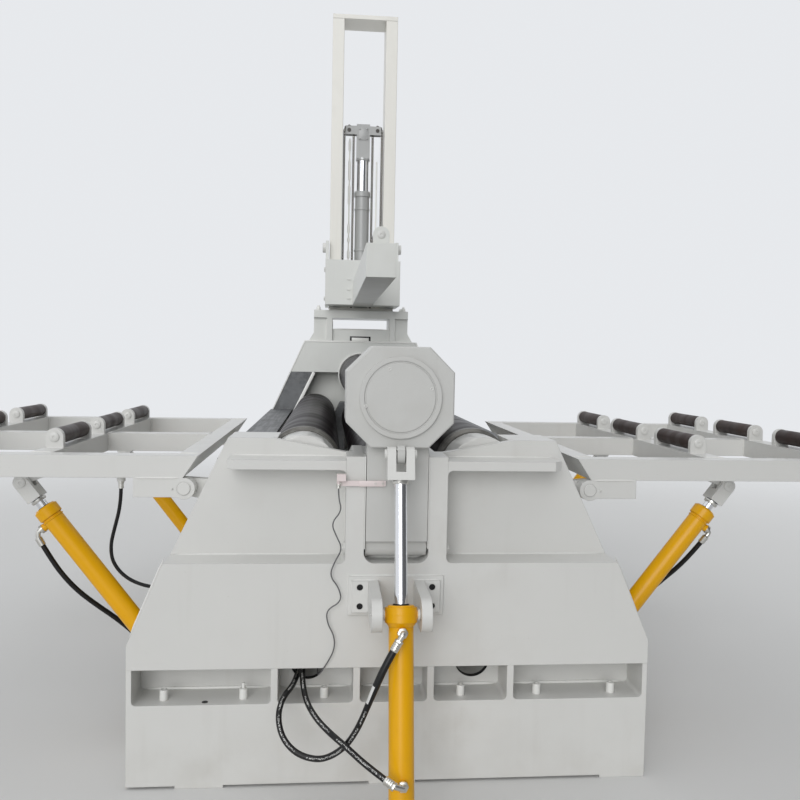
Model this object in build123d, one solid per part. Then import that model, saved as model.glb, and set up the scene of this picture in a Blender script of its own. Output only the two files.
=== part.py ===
from build123d import *
import math
import os

# Four-roll plate bending machine, in millimetres.
# X runs across the machine, Y runs along the rolls towards the drive end, Z is up.
# The origin lies on the floor, under the middle of the rolls.

# Rolls
BARREL_LENGTH = 3200
TOP_ROLL_DIAMETER = 340
SIDE_ROLL_DIAMETER = 320
BOTTOM_ROLL_DIAMETER = 300
TOP_ROLL_HEIGHT = 1490
PASS_GAP = 30
SIDE_ROLL_OFFSET = 365
SIDE_ROLL_DROP = 315
SIDE_LEAN = 25.45
TOP_JOURNAL_DIAMETER = 230
SIDE_JOURNAL_DIAMETER = 170
BOTTOM_JOURNAL_DIAMETER = 160
BARREL_CHAMFER = 12
JOURNAL_FIT = 0.05

# End frames
BARREL_END_GAP = 30
FRAME_DEPTH = 400
PAD_THICKNESS = 10
PAD_SIZE = 180
SILL_TOP = 320
BAY_HEIGHT = 135
BAY_DEPTH = 160
BAY_RISE = 50
BAY_RIB = 26
BAY_RIB_OFFSETS = (142, 453)
BAY_END_WALL = 20
BAY_CORNER = 16
BASE_HALF_WIDTH = 1000
SHOULDER_RISE = 92
LEDGE_HALF_WIDTH = 868
LEDGE_DROP = 634
TOP_HALF_WIDTH = 650
TOP_DROP = 176
CREST_HALF_WIDTH = 480
RECESS_DEPTH = 150
PANEL_THICKNESS = 40
FACE_PLATE = 40
CABLE_HOLE_DIAMETER = 140
CABLE_HOLE_OFFSET = 330
CABLE_HOLE_RISE = 100
CABLE_HOLE_WALL = 60
SLOT_GAP = 6
POST_WIDTH = 70
POST_DROP = 228
SLOT_CORNER = 40
LIP_THICKNESS = 36
LIP_DROP = 244
LIP_END_INSET = 10
LIP_CHAMFER = 30
RECESS_CORNER = 20
EDGE_CHAMFER = 4
DRIVE_TOP_HALF_WIDTH = 460
DRIVE_TOP_RISE = 275
WINDOW_RISE = 20

# Roll housings and their guides
GUIDE_GAP = 0.5
SIDE_HOUSING_WIDTH = 290
SIDE_HOUSING_LENGTH = 300
BOTTOM_HOUSING_WIDTH = 240
BOTTOM_HOUSING_HEIGHT = 240
HOUSING_THICKNESS = 200
HOUSING_INSET = 5
LIFT_ROD_DIAMETER = 90
LIFT_ROD_LENGTH = 150
LIFT_BORE_SPARE = 90
MAIN_HOUSING_DIAMETER = 344
MAIN_HOUSING_GAP = 1
DRIVE_SHAFT_DIAMETER = 200
SHAFT_HOLE_DIAMETER = 240

# Drop head
HEAD_HALF_WIDTH = 200
HEAD_HALF_HEIGHT = 187
HEAD_CHAMFER = 93
HEAD_FRONT_REACH = 70
HEAD_DEPTH = 240
COVER_DIAMETER = 304
COVER_THICKNESS = 12
COVER_GROOVE_DIAMETER = 268
COVER_GROOVE_WIDTH = 6
COVER_GROOVE_DEPTH = 3
STEM_HALF_WIDTH = 117
STEM_THICKNESS = 110
STEM_FRONT_REACH = 5
STEM_ABOVE_PIVOT = 35
HEAD_PIVOT_INSET = 50
HEAD_PIVOT_RISE = 49
KNUCKLE_DIAMETER = 60
HINGE_SHAFT_DIAMETER = 36
CONE_ANGLE = 16
CONE_LENGTH = 115
CONE_GAP = 0.5
SEAT_END_GAP = 8
TONGUE_THICKNESS = 28
TONGUE_RADIUS = 34
SWITCH_BAR_BELOW_PIN = 122
SWITCH_BAR_HEIGHT = 20
SWITCH_BAR_THICKNESS = 6
SWITCH_BAR_STANDOFF = 6
SWITCH_BAR_END = 45
SWITCH_FOOT_LENGTH = 30
SWITCH_REACH = 229
SWITCH_LENGTH = 34
SWITCH_HEIGHT = 26
SWITCH_DEPTH = 24
GLAND_DIAMETER = 10
GLAND_LENGTH = 3
GLAND_INSET = 7
GLAND_SETBACK = 15

# Drop cylinder
PIN_REACH = 110
PIN_DROP = 205
TRUNNION_REACH = 240
TRUNNION_DROP = 121
DROP_BARREL_DIAMETER = 88
DROP_COLLAR_DIAMETER = 114
DROP_COLLAR_ABOVE = 26
DROP_COLLAR_BELOW = 26
DROP_BARREL_LENGTH = 620
DROP_CAP_DIAMETER = 96
DROP_CAP_LENGTH = 26
DROP_ROD_DIAMETER = 47
DROP_ROD_INSIDE = 60
TRUNNION_PIN_DIAMETER = 34
TRUNNION_PIN_LENGTH = 40
CLEVIS_WIDTH = 100
CLEVIS_DEPTH = 56
CLEVIS_LENGTH = 96
CLEVIS_SLOT = 36
CLEVIS_SLOT_LENGTH = 66
CLEVIS_PIN_DIAMETER = 24
OPEN_PIVOT_CLEARANCE = 8
BRACKET_PAD_HALF_WIDTH = 181
BRACKET_PAD_BELOW = 73
BRACKET_PAD_ABOVE = 75
BRACKET_PAD_THICKNESS = 14
BRACKET_BASE_INNER = 72
BRACKET_BASE_THICKNESS = 16
BRACKET_BASE_MARGIN = 14
EAR_THICKNESS = 38
EAR_INNER = 68
EAR_RADIUS = 60
SCREW_DIAMETER = 24
SCREW_DEPTH = 10
DROP_PORTS = (58, 550)

# Hoses and their fittings
HOSE_DIAMETER = 22
RETURN_HOSE_DIAMETER = 15
WIRE_DIAMETER = 5
PORT_DIAMETER = 34
PORT_HEIGHT = 14
PORT_ROOT = 30
ELBOW_DIAMETER = 20
ELBOW_REACH = 30
ELBOW_RADIUS = 16
HOSE_NUT_DIAMETER = 38
HOSE_NUT_LENGTH = 12
CRIMP_DIAMETER = 30
CRIMP_LENGTH = 36
ARC_SHARE = 0.45
# Where each crimp ends, from the middle of its port's face
UPPER_CRIMP_END = (-33, -34.2138, -49.8968)
LOWER_CRIMP_END = (-62, -23.0413, 36.9101)
LEFT_CRIMP_END = (4.5083, 1, -73.9613)
RIGHT_CRIMP_END = (-13.4917, 12, -65.9613)

# Bed and side girders
BED_BEAM_INNER = 640
BED_BEAM_OUTER = 840
BED_BEAM_HEIGHT = 210
BED_CROSS_WIDTH = 300
GIRDER_INNER = 590
GIRDER_OUTER = 700
GIRDER_DROP = 300
GIRDER_HEIGHT = 110
APRON_INNER = 552
APRON_OUTER = 724
APRON_THICKNESS = 12

# Side tables
TABLE_DROP = 265
TABLE_BEAM_HEIGHT = 90
TABLE_BEAM_WIDTH = 90
TABLE_OVERHANG = 120
TABLE_LENGTH = 2040
TABLE_MID_DISTANCE = 930
TABLE_INNER_TOP = 785
TABLE_INNER_BOTTOM = 845
TABLE_INNER_BACK = 872
ROW_OFFSETS = (1425, 2050)
ROLLER_DIAMETER = 72
ROLLER_LENGTH = 360
ROLLER_FIRST_DISTANCE = 250
ROLLER_PITCH = 640
ROLLER_COUNT = 3
ROLLER_AXIS_ABOVE = 46
ROLLER_END_GAP = 4
ROLLER_PIN_DIAMETER = 30
ROLLER_BRACKET_RADIUS = 38
ROLLER_BRACKET_THICKNESS = 24
TABLE_HINGE_OFFSET = 840
TABLE_HINGE_DROP = 133
TABLE_PIN_DIAMETER = 56
HINGE_BLOCK_LENGTH = 200
HINGE_BLOCK_THICKNESS = 60
HINGE_BLOCK_HEIGHT = 78
HINGE_BLOCK_BEHIND = 44
LUG_THICKNESS = 40
LUG_GAP = 6
LUG_RADIUS = 36
LUG_ROOT_ABOVE = 30
LUG_ROOT_BELOW = 52

# Table cylinders
TABLE_PIN_OFFSET = 1540
TABLE_PIN_DROP = 140
TABLE_FOOT_REACH = 65
TABLE_FOOT_RISE = 45
TABLE_CYLINDER_INSET = 100
TABLE_CYLINDER_PITCH = 1580
TABLE_BARREL_DIAMETER = 86
TABLE_COLLAR_DIAMETER = 100
TABLE_COLLAR_LENGTH = 40
TABLE_HEAD_DISTANCE = 145
TABLE_FOOT_DISTANCE = 50
TABLE_ROD_DIAMETER = 44
TABLE_ROD_INSIDE = 330
TABLE_CLEVIS_LENGTH = 92
TABLE_CLEVIS_WIDTH = 84
TABLE_CLEVIS_DEPTH = 62
TABLE_CLEVIS_SLOT = 38
TABLE_CLEVIS_PIN_DIAMETER = 26
TABLE_PORT_DISTANCE = 207
TABLE_TONGUE_THICKNESS = 28
TABLE_TONGUE_RADIUS = 34
FOOT_EYE_RADIUS = 40
FOOT_EYE_THICKNESS = 40
FOOT_PIN_DIAMETER = 34
FOOT_LUG_THICKNESS = 24
FOOT_LUG_GAP = 5

# Mast at the drive end
PLATFORM_HALF_WIDTH = 385
PLATFORM_POST_INNER = 235
PLATFORM_POST_HEIGHT = 190
PLATFORM_PLATE_THICKNESS = 63
PLATFORM_FRONT_INSET = 5
PLATFORM_BACK_INSET = 30
PLATFORM_FLANGE = 45
PLATFORM_WEB_INSET = 30
CROSS_PLATE_HEIGHT = 100
CROSS_PLATE_THICKNESS = 20
GUSSET_WIDTH = 40
GUSSET_HEIGHT = 70
GUSSET_THICKNESS = 20
UPRIGHT_INNER = 170
UPRIGHT_WIDTH = 95
UPRIGHT_INSET = 85
UPRIGHT_DEPTH = 245
MAST_HEIGHT = 2402
MAST_CROSSPIECE = 100
MAST_FOOT_HEIGHT = 26
MAST_BARREL_DIAMETER = 117
MAST_BARREL_LENGTH = 966
MAST_BARREL_COLLAR = 134
MAST_COLLAR_LENGTH = 36
PLUNGER_DIAMETER = 98
PLUNGER_SHOWN = 280
PLUNGER_INSIDE = 900
SPROCKET_DIAMETER = 58
SPROCKET_THICKNESS = 30
SPROCKET_OFFSET = 118
SPROCKET_RISE = 230
YOKE_THICKNESS = 14
YOKE_GAP = 3
YOKE_HEIGHT = 70
PLUNGER_HEAD_WIDTH = 110
PLUNGER_HEAD_HEIGHT = 280
AXLE_DIAMETER = 24
CHAIN_WIDTH = 14
CHAIN_DEPTH = 26
CHAIN_WRAP_GAP = 0.3
CHAIN_LUG_HALF = 10
CHAIN_LUG_HEIGHT = 40
CARRIAGE_CHEEK = 25
CARRIAGE_RISE = 34
CARRIAGE_HEIGHT = 353
CARRIAGE_DEPTH = 265
CARRIAGE_BACK_GAP = 10
CHEEK_RISE = 175
CHEEK_REACH = 215
CHEEK_ROUND = 60
GUIDE_PAD_THICKNESS = 6.5
GUIDE_PAD_LENGTH = 120
GUIDE_PAD_HEIGHT = 70
ARM_HALF_WIDTH = 78
ARM_HEIGHT = 176
ARM_LENGTH = 2270
ARM_ROLLER_DIAMETER = 80
ARM_ROLLER_COUNT = 3
ARM_ROLLER_INSET = 30
ARM_ROLLER_PITCH = 720
ARM_ROLLER_LENGTH = 440
ARM_ROLLER_AXIS_ABOVE = 48
ARM_BRACKET_RADIUS = 43

# Top roll drive
DRIVE_FLANGE_DIAMETER = 430
DRIVE_FLANGE_LENGTH = 50
DRIVE_GEAR_DIAMETER = 360
DRIVE_GEAR_LENGTH = 240
DRIVE_STAGE_DIAMETER = 300
DRIVE_STAGE_LENGTH = 150
DRIVE_MOTOR_DIAMETER = 190
DRIVE_MOTOR_LENGTH = 200

# Derived places
INNER_FACE = BARREL_LENGTH / 2 + BARREL_END_GAP
OUTER_FACE = INNER_FACE + FRAME_DEPTH
FRONT = -OUTER_FACE
PANEL_FRONT = OUTER_FACE - RECESS_DEPTH
PANEL_BACK = PANEL_FRONT - PANEL_THICKNESS
SIDE_ROLL_HEIGHT = TOP_ROLL_HEIGHT - SIDE_ROLL_DROP
BAY_TOP = SILL_TOP + BAY_HEIGHT
SHOULDER_HEIGHT = BAY_TOP + SHOULDER_RISE
LEDGE_HEIGHT = TOP_ROLL_HEIGHT - LEDGE_DROP
TOP_HEIGHT = TOP_ROLL_HEIGHT - TOP_DROP
CABLE_HOLE_HEIGHT = SILL_TOP + CABLE_HOLE_RISE
SLOT_HALF_WIDTH = STEM_HALF_WIDTH + SLOT_GAP
POST_TOP = TOP_ROLL_HEIGHT - POST_DROP
LIP_TOP = TOP_ROLL_HEIGHT - LIP_DROP
LIP_END = TOP_HALF_WIDTH - LIP_END_INSET
DRIVE_TOP_HEIGHT = TOP_ROLL_HEIGHT + DRIVE_TOP_RISE
WINDOW_TOP = TOP_ROLL_HEIGHT + WINDOW_RISE
BOTTOM_ROLL_HEIGHT = TOP_ROLL_HEIGHT - TOP_ROLL_DIAMETER / 2 - PASS_GAP - BOTTOM_ROLL_DIAMETER / 2
HEAD_FRONT = FRONT - HEAD_FRONT_REACH
HEAD_BACK = HEAD_FRONT + HEAD_DEPTH
STEM_FRONT = FRONT - STEM_FRONT_REACH
STEM_BACK = STEM_FRONT + STEM_THICKNESS
HEAD_PIVOT = (0, FRONT + HEAD_PIVOT_INSET, LEDGE_HEIGHT + HEAD_PIVOT_RISE)
STEM_BOTTOM = HEAD_PIVOT[2] + STEM_ABOVE_PIVOT
DROP_PIN = (0, FRONT - PIN_REACH, TOP_ROLL_HEIGHT - PIN_DROP)
DROP_TRUNNION = (0, FRONT - TRUNNION_REACH, LEDGE_HEIGHT - TRUNNION_DROP)
GIRDER_TOP = TOP_ROLL_HEIGHT - GIRDER_DROP
TABLE_TOP = TOP_ROLL_HEIGHT - TABLE_DROP
TABLE_BEAM_BOTTOM = TABLE_TOP - TABLE_BEAM_HEIGHT
TABLE_ROLLER_HEIGHT = TABLE_TOP + ROLLER_AXIS_ABOVE
TABLE_NEAR_END = -INNER_FACE - TABLE_OVERHANG
TABLE_FAR_END = TABLE_NEAR_END + TABLE_LENGTH
TABLE_MID_BEAM = TABLE_NEAR_END + TABLE_MID_DISTANCE
ROLLER_FIRST = TABLE_NEAR_END + ROLLER_FIRST_DISTANCE
TABLE_HINGE_HEIGHT = TABLE_TOP - TABLE_HINGE_DROP
TABLE_PIN_HEIGHT = TABLE_TOP - TABLE_PIN_DROP
TABLE_FOOT_OFFSET = BED_BEAM_OUTER + TABLE_FOOT_REACH
TABLE_FOOT_HEIGHT = BED_BEAM_HEIGHT + TABLE_FOOT_RISE
TABLE_CYLINDER_NEAR = -INNER_FACE + TABLE_CYLINDER_INSET
TABLE_CYLINDER_PLACES = (TABLE_CYLINDER_NEAR, TABLE_CYLINDER_NEAR + TABLE_CYLINDER_PITCH)
PLATFORM_PLATE_BOTTOM = DRIVE_TOP_HEIGHT + PLATFORM_POST_HEIGHT
PLATFORM_TOP = PLATFORM_PLATE_BOTTOM + PLATFORM_PLATE_THICKNESS
PLATFORM_FRONT = INNER_FACE + PLATFORM_FRONT_INSET
PLATFORM_BACK = OUTER_FACE - PLATFORM_BACK_INSET
UPRIGHT_OUTER = UPRIGHT_INNER + UPRIGHT_WIDTH
UPRIGHT_FRONT = INNER_FACE + UPRIGHT_INSET
MAST_FOOT_TOP = PLATFORM_TOP + MAST_FOOT_HEIGHT
MAST_TOP = PLATFORM_TOP + MAST_HEIGHT
MAST_BARREL_TOP = MAST_FOOT_TOP + MAST_BARREL_LENGTH
PLUNGER_TOP = MAST_BARREL_TOP + PLUNGER_SHOWN
SPROCKET_HEIGHT = PLUNGER_TOP + SPROCKET_RISE
CARRIAGE_HALF_WIDTH = UPRIGHT_OUTER + GUIDE_GAP + GUIDE_PAD_THICKNESS + CARRIAGE_CHEEK
CARRIAGE_BOTTOM = PLATFORM_TOP + CARRIAGE_RISE
CARRIAGE_TOP = CARRIAGE_BOTTOM + CARRIAGE_HEIGHT
CARRIAGE_BACK = UPRIGHT_FRONT - CARRIAGE_BACK_GAP
CARRIAGE_FRONT = CARRIAGE_BACK - CARRIAGE_DEPTH
CHEEK_TOP = CARRIAGE_TOP + CHEEK_RISE
CHEEK_BACK = UPRIGHT_FRONT + CHEEK_REACH
ARM_FRONT = CARRIAGE_FRONT - ARM_LENGTH
ARM_ROLLER_FIRST = ARM_FRONT + ARM_ROLLER_INSET
ARM_BOTTOM = CARRIAGE_BOTTOM
ARM_TOP = ARM_BOTTOM + ARM_HEIGHT
ARM_ROLLER_HEIGHT = ARM_TOP + ARM_ROLLER_AXIS_ABOVE
UPRIGHT_BACK = UPRIGHT_FRONT + UPRIGHT_DEPTH
MAST_AXIS = (UPRIGHT_FRONT + UPRIGHT_BACK) / 2
SIDE_UP = (-math.sin(math.radians(SIDE_LEAN)), math.cos(math.radians(SIDE_LEAN)))
SIDE_OUT = (math.cos(math.radians(SIDE_LEAN)), math.sin(math.radians(SIDE_LEAN)))


# Shapes that many pieces share
def block(x, y, z):
    """Return a box between the pairs of limits x, y and z."""
    box = Box(x[1] - x[0], y[1] - y[0], z[1] - z[0], align=Align.MIN)
    return Pos(x[0], y[0], z[0]) * box


def prism_y(points, y0, y1):
    """Return the X and Z outline in points, carried from y0 to y1."""
    plane = Plane(origin=(0, y1, 0), x_dir=(1, 0, 0), z_dir=(0, -1, 0))
    return extrude(plane * Polygon(*points, align=None), amount=y1 - y0, dir=(0, -1, 0))


def prism_x(points, x0, x1):
    """Return the Y and Z outline in points, carried from x0 to x1."""
    plane = Plane(origin=(x0, 0, 0), x_dir=(0, 1, 0), z_dir=(1, 0, 0))
    return extrude(plane * Polygon(*points, align=None), amount=x1 - x0, dir=(1, 0, 0))


def rod_between(start, end, diameter):
    """Return a round bar from start to end."""
    axis = Vector(*end) - Vector(*start)
    plane = Plane(origin=start, z_dir=axis)
    return extrude(plane * Circle(diameter / 2), amount=axis.length)


def round_y(x, z, diameter, y0, y1):
    """Return a round bar along Y."""
    return rod_between((x, y0, z), (x, y1, z), diameter)


def round_x(y, z, diameter, x0, x1):
    """Return a round bar along X."""
    return rod_between((x0, y, z), (x1, y, z), diameter)


def round_z(x, y, diameter, z0, z1):
    """Return an upright round bar."""
    return rod_between((x, y, z0), (x, y, z1), diameter)


def mirrored(shape):
    """Return the shape's twin on the other side of the machine."""
    return mirror(shape, about=Plane.YZ)


def both_sides(shapes):
    """Return the shapes of the right side with their twins on the left."""
    return list(shapes) + [mirrored(shape) for shape in shapes]


def drive_end(shape):
    """Return the drive end's twin of a shape at the drop end."""
    return mirror(shape, about=Plane.XZ)


def corner_fill(x, z, way, radius):
    """Return the filler that rounds a recess's inner corner; way points into the recess."""
    centre = (x + way[0] * radius, z + way[1] * radius)
    square = block(sorted((x, centre[0])), (FRONT, -PANEL_FRONT), sorted((z, centre[1])))
    return square - round_y(*centre, 2 * radius, FRONT, -PANEL_FRONT)


def along(origin, direction, distance):
    """Return the point at a distance from origin along an X and Z direction."""
    return (origin[0] + direction[0] * distance, origin[1] + direction[1] * distance)


def save(name, shapes):
    """Write one node."""
    solids = [solid for shape in shapes for solid in shape.solids()]
    whole = solids[0] if len(solids) == 1 else Compound(children=solids)
    export_step(whole, f"parts/{name}.step")


# Guide lines of the side rolls, on the right side
SIDE_AXIS = (SIDE_ROLL_OFFSET, SIDE_ROLL_HEIGHT)
SIDE_POCKET_HALF = SIDE_HOUSING_WIDTH / 2 + GUIDE_GAP
BOTTOM_POCKET_HALF = BOTTOM_HOUSING_WIDTH / 2 + GUIDE_GAP


def pocket_line(side, height):
    """Return X of the side pocket's outer or inner wall, for side 1 or -1, at a height."""
    foot = along(SIDE_AXIS, SIDE_OUT, side * SIDE_POCKET_HALF)
    return foot[0] + (height - foot[1]) * SIDE_UP[0] / SIDE_UP[1]


def lift_bores(y):
    """Return the bores of the three lift rods below the guides, centred at y."""
    depth = LIFT_ROD_LENGTH + LIFT_BORE_SPARE
    diameter = LIFT_ROD_DIAMETER + 2 * GUIDE_GAP
    bottom = rod_between((0, y, LEDGE_HEIGHT + 1), (0, y, LEDGE_HEIGHT - depth), diameter)
    foot = (pocket_line(1, LEDGE_HEIGHT) + pocket_line(-1, LEDGE_HEIGHT)) / 2
    start = along((foot, LEDGE_HEIGHT), SIDE_UP, LIFT_ROD_DIAMETER)
    end = along((foot, LEDGE_HEIGHT), SIDE_UP, -depth)
    side = rod_between((start[0], y, start[1]), (end[0], y, end[1]), diameter)
    return [bottom] + both_sides([side])


HOUSING_MIDDLE = INNER_FACE + HOUSING_INSET + HOUSING_THICKNESS / 2


# End frame bases
def frame_base():
    """Return the drop end's sill with its bolting bays and levelling pads."""
    low = (PAD_THICKNESS, BAY_TOP)
    base = block((-BASE_HALF_WIDTH, BASE_HALF_WIDTH), (-OUTER_FACE, -INNER_FACE), low)
    inner, outer = BAY_RIB_OFFSETS
    half_rib = BAY_RIB / 2
    bays = [(-inner + half_rib, inner - half_rib)]
    for start, end in ((inner + half_rib, outer - half_rib),
                       (outer + half_rib, BASE_HALF_WIDTH - BAY_END_WALL)):
        bays.append((start, end))
        bays.append((-end, -start))
    for bay in bays:
        room = block(bay, (-OUTER_FACE - 1, -OUTER_FACE + BAY_DEPTH), (SILL_TOP, BAY_TOP + 1))
        floor_edges = room.edges().filter_by(Axis.Y).group_by(Axis.Z)[0]
        base -= fillet(floor_edges, BAY_CORNER)
    for side in (-1, 1):
        x = side * CABLE_HOLE_OFFSET
        base -= round_y(x, CABLE_HOLE_HEIGHT, CABLE_HOLE_DIAMETER, -OUTER_FACE,
                        -INNER_FACE - CABLE_HOLE_WALL)
    reach = BASE_HALF_WIDTH - PAD_SIZE
    for x in (-reach, -PAD_SIZE / 2, reach):
        for y in (-OUTER_FACE, -INNER_FACE - PAD_SIZE):
            base += block((x, x + PAD_SIZE), (y, y + PAD_SIZE), (0, PAD_THICKNESS))
    return base


def frame_shoulders():
    """Return the drop end's block from the bays up to the ledge."""
    outline = [(-BASE_HALF_WIDTH, BAY_TOP), (BASE_HALF_WIDTH, BAY_TOP),
               (BASE_HALF_WIDTH, SHOULDER_HEIGHT), (LEDGE_HALF_WIDTH, LEDGE_HEIGHT),
               (-LEDGE_HALF_WIDTH, LEDGE_HEIGHT), (-BASE_HALF_WIDTH, SHOULDER_HEIGHT)]
    shoulders = prism_y(outline, -OUTER_FACE, -INNER_FACE)
    span = BASE_HALF_WIDTH - BAY_END_WALL
    behind = (-OUTER_FACE + FACE_PLATE, -OUTER_FACE + BAY_DEPTH)
    shoulders -= block((-span, span), behind, (BAY_TOP - 1, BAY_TOP + BAY_RISE))
    for side in (-1, 1):
        x = side * CABLE_HOLE_OFFSET
        shoulders -= round_y(x, CABLE_HOLE_HEIGHT, CABLE_HOLE_DIAMETER,
                             -OUTER_FACE + FACE_PLATE, -INNER_FACE - CABLE_HOLE_WALL)
    for bore in lift_bores(-HOUSING_MIDDLE):
        shoulders -= bore
    return shoulders


def drop_end_face():
    """Return the lower front block with the two posts that flank the head's stem."""
    face = frame_shoulders()
    outer = SLOT_HALF_WIDTH + POST_WIDTH
    for side in (-1, 1):
        limits = sorted((side * SLOT_HALF_WIDTH, side * outer))
        post = block(limits, (FRONT, -PANEL_FRONT), (LEDGE_HEIGHT, POST_TOP))
        face += post
        face += corner_fill(side * SLOT_HALF_WIDTH, LEDGE_HEIGHT, (-side, 1), SLOT_CORNER)
        face += corner_fill(side * outer, LEDGE_HEIGHT, (side, 1), RECESS_CORNER)
    face -= round_x(HEAD_PIVOT[1], HEAD_PIVOT[2], HINGE_SHAFT_DIAMETER, -outer, outer)
    return face


def drop_end_upper_panel():
    """Return the set-back upper panel with the two lips along its top."""
    outer = SLOT_HALF_WIDTH + POST_WIDTH
    outline = [(-LEDGE_HALF_WIDTH, LEDGE_HEIGHT), (LEDGE_HALF_WIDTH, LEDGE_HEIGHT),
               (TOP_HALF_WIDTH, TOP_HEIGHT), (CREST_HALF_WIDTH, TOP_HEIGHT), (outer, POST_TOP),
               (-outer, POST_TOP), (-CREST_HALF_WIDTH, TOP_HEIGHT), (-TOP_HALF_WIDTH, TOP_HEIGHT)]
    panel = prism_y(outline, -PANEL_FRONT, -PANEL_BACK)
    lip_plan = [(outer, -PANEL_FRONT), (outer, FRONT), (LIP_END - LIP_CHAMFER, FRONT),
                (LIP_END, FRONT + LIP_CHAMFER), (LIP_END, -PANEL_FRONT)]
    lip = extrude(Pos(0, 0, LIP_TOP - LIP_THICKNESS) * Polygon(*lip_plan, align=None),
                  amount=LIP_THICKNESS, dir=(0, 0, 1))
    lip += corner_fill(outer, LIP_TOP - LIP_THICKNESS, (1, -1), RECESS_CORNER)
    return panel + lip + mirrored(lip)


def roll_guides(outer_top, outer_top_height):
    """Return the drop end's guide walls, for an outer edge that ends at the given corner."""
    wall = [(pocket_line(1, LEDGE_HEIGHT), LEDGE_HEIGHT), (LEDGE_HALF_WIDTH, LEDGE_HEIGHT),
            (outer_top, outer_top_height), (pocket_line(1, outer_top_height), outer_top_height)]
    divider = [(BOTTOM_POCKET_HALF, LEDGE_HEIGHT), (pocket_line(-1, LEDGE_HEIGHT), LEDGE_HEIGHT),
               (pocket_line(-1, POST_TOP), POST_TOP), (BOTTOM_POCKET_HALF, POST_TOP)]
    return both_sides([prism_y(wall, -PANEL_BACK, -INNER_FACE),
                       prism_y(divider, -PANEL_BACK, -INNER_FACE)])


# Upper part of the drive end frame
def drive_edge(height):
    """Return X of the drive end frame's sloping outer edge at a height."""
    share = (height - LEDGE_HEIGHT) / (DRIVE_TOP_HEIGHT - LEDGE_HEIGHT)
    return LEDGE_HALF_WIDTH + share * (DRIVE_TOP_HALF_WIDTH - LEDGE_HALF_WIDTH)


def drive_end_upper_panel():
    """Return the wall behind the drive end's guides, with the hole of the top roll's shaft."""
    outline = [(-LEDGE_HALF_WIDTH, LEDGE_HEIGHT), (LEDGE_HALF_WIDTH, LEDGE_HEIGHT),
               (DRIVE_TOP_HALF_WIDTH, DRIVE_TOP_HEIGHT), (-DRIVE_TOP_HALF_WIDTH, DRIVE_TOP_HEIGHT)]
    panel = prism_y(outline, PANEL_BACK, OUTER_FACE)
    return panel - round_y(0, TOP_ROLL_HEIGHT, SHAFT_HOLE_DIAMETER, PANEL_BACK - 1, OUTER_FACE + 1)


def drive_end_head_beam():
    """Return the beam over the window, cut round the main bearing housing."""
    low = drive_edge(WINDOW_TOP)
    outline = [(-low, WINDOW_TOP), (low, WINDOW_TOP), (DRIVE_TOP_HALF_WIDTH, DRIVE_TOP_HEIGHT),
               (-DRIVE_TOP_HALF_WIDTH, DRIVE_TOP_HEIGHT)]
    beam = prism_y(outline, INNER_FACE, PANEL_BACK)
    diameter = MAIN_HOUSING_DIAMETER + 2 * MAIN_HOUSING_GAP
    return beam - round_y(0, TOP_ROLL_HEIGHT, diameter, INNER_FACE - 1, PANEL_BACK + 1)


def main_bearing_housing():
    """Return the round housing that holds the top roll at the drive end."""
    body = round_y(0, TOP_ROLL_HEIGHT, MAIN_HOUSING_DIAMETER, INNER_FACE, PANEL_BACK)
    bore = DRIVE_SHAFT_DIAMETER + 2 * JOURNAL_FIT
    return body - round_y(0, TOP_ROLL_HEIGHT, bore, INNER_FACE - 1, PANEL_BACK + 1)


# Bed, girders and aprons
def bed_beams():
    """Return the bed between the end frames, with a pad under its middle."""
    span = (-INNER_FACE, INNER_FACE)
    height = (PAD_THICKNESS, BED_BEAM_HEIGHT)
    beams = both_sides([block((BED_BEAM_INNER, BED_BEAM_OUTER), span, height)])
    half = BED_CROSS_WIDTH / 2
    bed = beams[0] + beams[1]
    bed += block((-BED_BEAM_INNER, BED_BEAM_INNER), (-half, half), height)
    pad = (-PAD_SIZE / 2, PAD_SIZE / 2)
    bed += block(pad, pad, (0, PAD_THICKNESS))
    for port in bed_ports():
        bed += port
    return bed


def tie_girders():
    """Return the two girders that tie the frames beside the side rolls."""
    height = (GIRDER_TOP - GIRDER_HEIGHT, GIRDER_TOP)
    return both_sides([block((GIRDER_INNER, GIRDER_OUTER), (-INNER_FACE, INNER_FACE), height)])


def apron_plates():
    """Return the plates that bridge from the side rolls to the tables."""
    height = (GIRDER_TOP, GIRDER_TOP + APRON_THICKNESS)
    return both_sides([block((APRON_INNER, APRON_OUTER), (-INNER_FACE, INNER_FACE), height)])


# Rolls
def barrel(x, z, diameter):
    """Return one roll barrel with chamfered ends."""
    half = BARREL_LENGTH / 2
    body = round_y(x, z, diameter, -half, half)
    return chamfer(body.edges().filter_by(GeomType.CIRCLE), BARREL_CHAMFER)


def held_roll(x, z, diameter, journal):
    """Return a roll whose journals turn in the housings at both ends."""
    end = INNER_FACE + HOUSING_INSET + HOUSING_THICKNESS
    return barrel(x, z, diameter) + round_y(x, z, journal, -end, end)


def roll_cone(start, length, extra):
    """Return the cone of the top roll's nose from start towards the head, extra wider all round."""
    taper = math.tan(math.radians(CONE_ANGLE))
    radius = TOP_JOURNAL_DIAMETER / 2 + extra + taper * (start - HEAD_BACK)
    outline = [(start, 0), (start, radius), (start - length, radius - taper * length),
               (start - length, 0)]
    face = Plane(origin=(0, 0, 0), x_dir=(0, 1, 0), z_dir=(1, 0, 0)) * Polygon(*outline, align=None)
    return Pos(0, 0, TOP_ROLL_HEIGHT) * revolve(face, Axis.Y)


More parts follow.
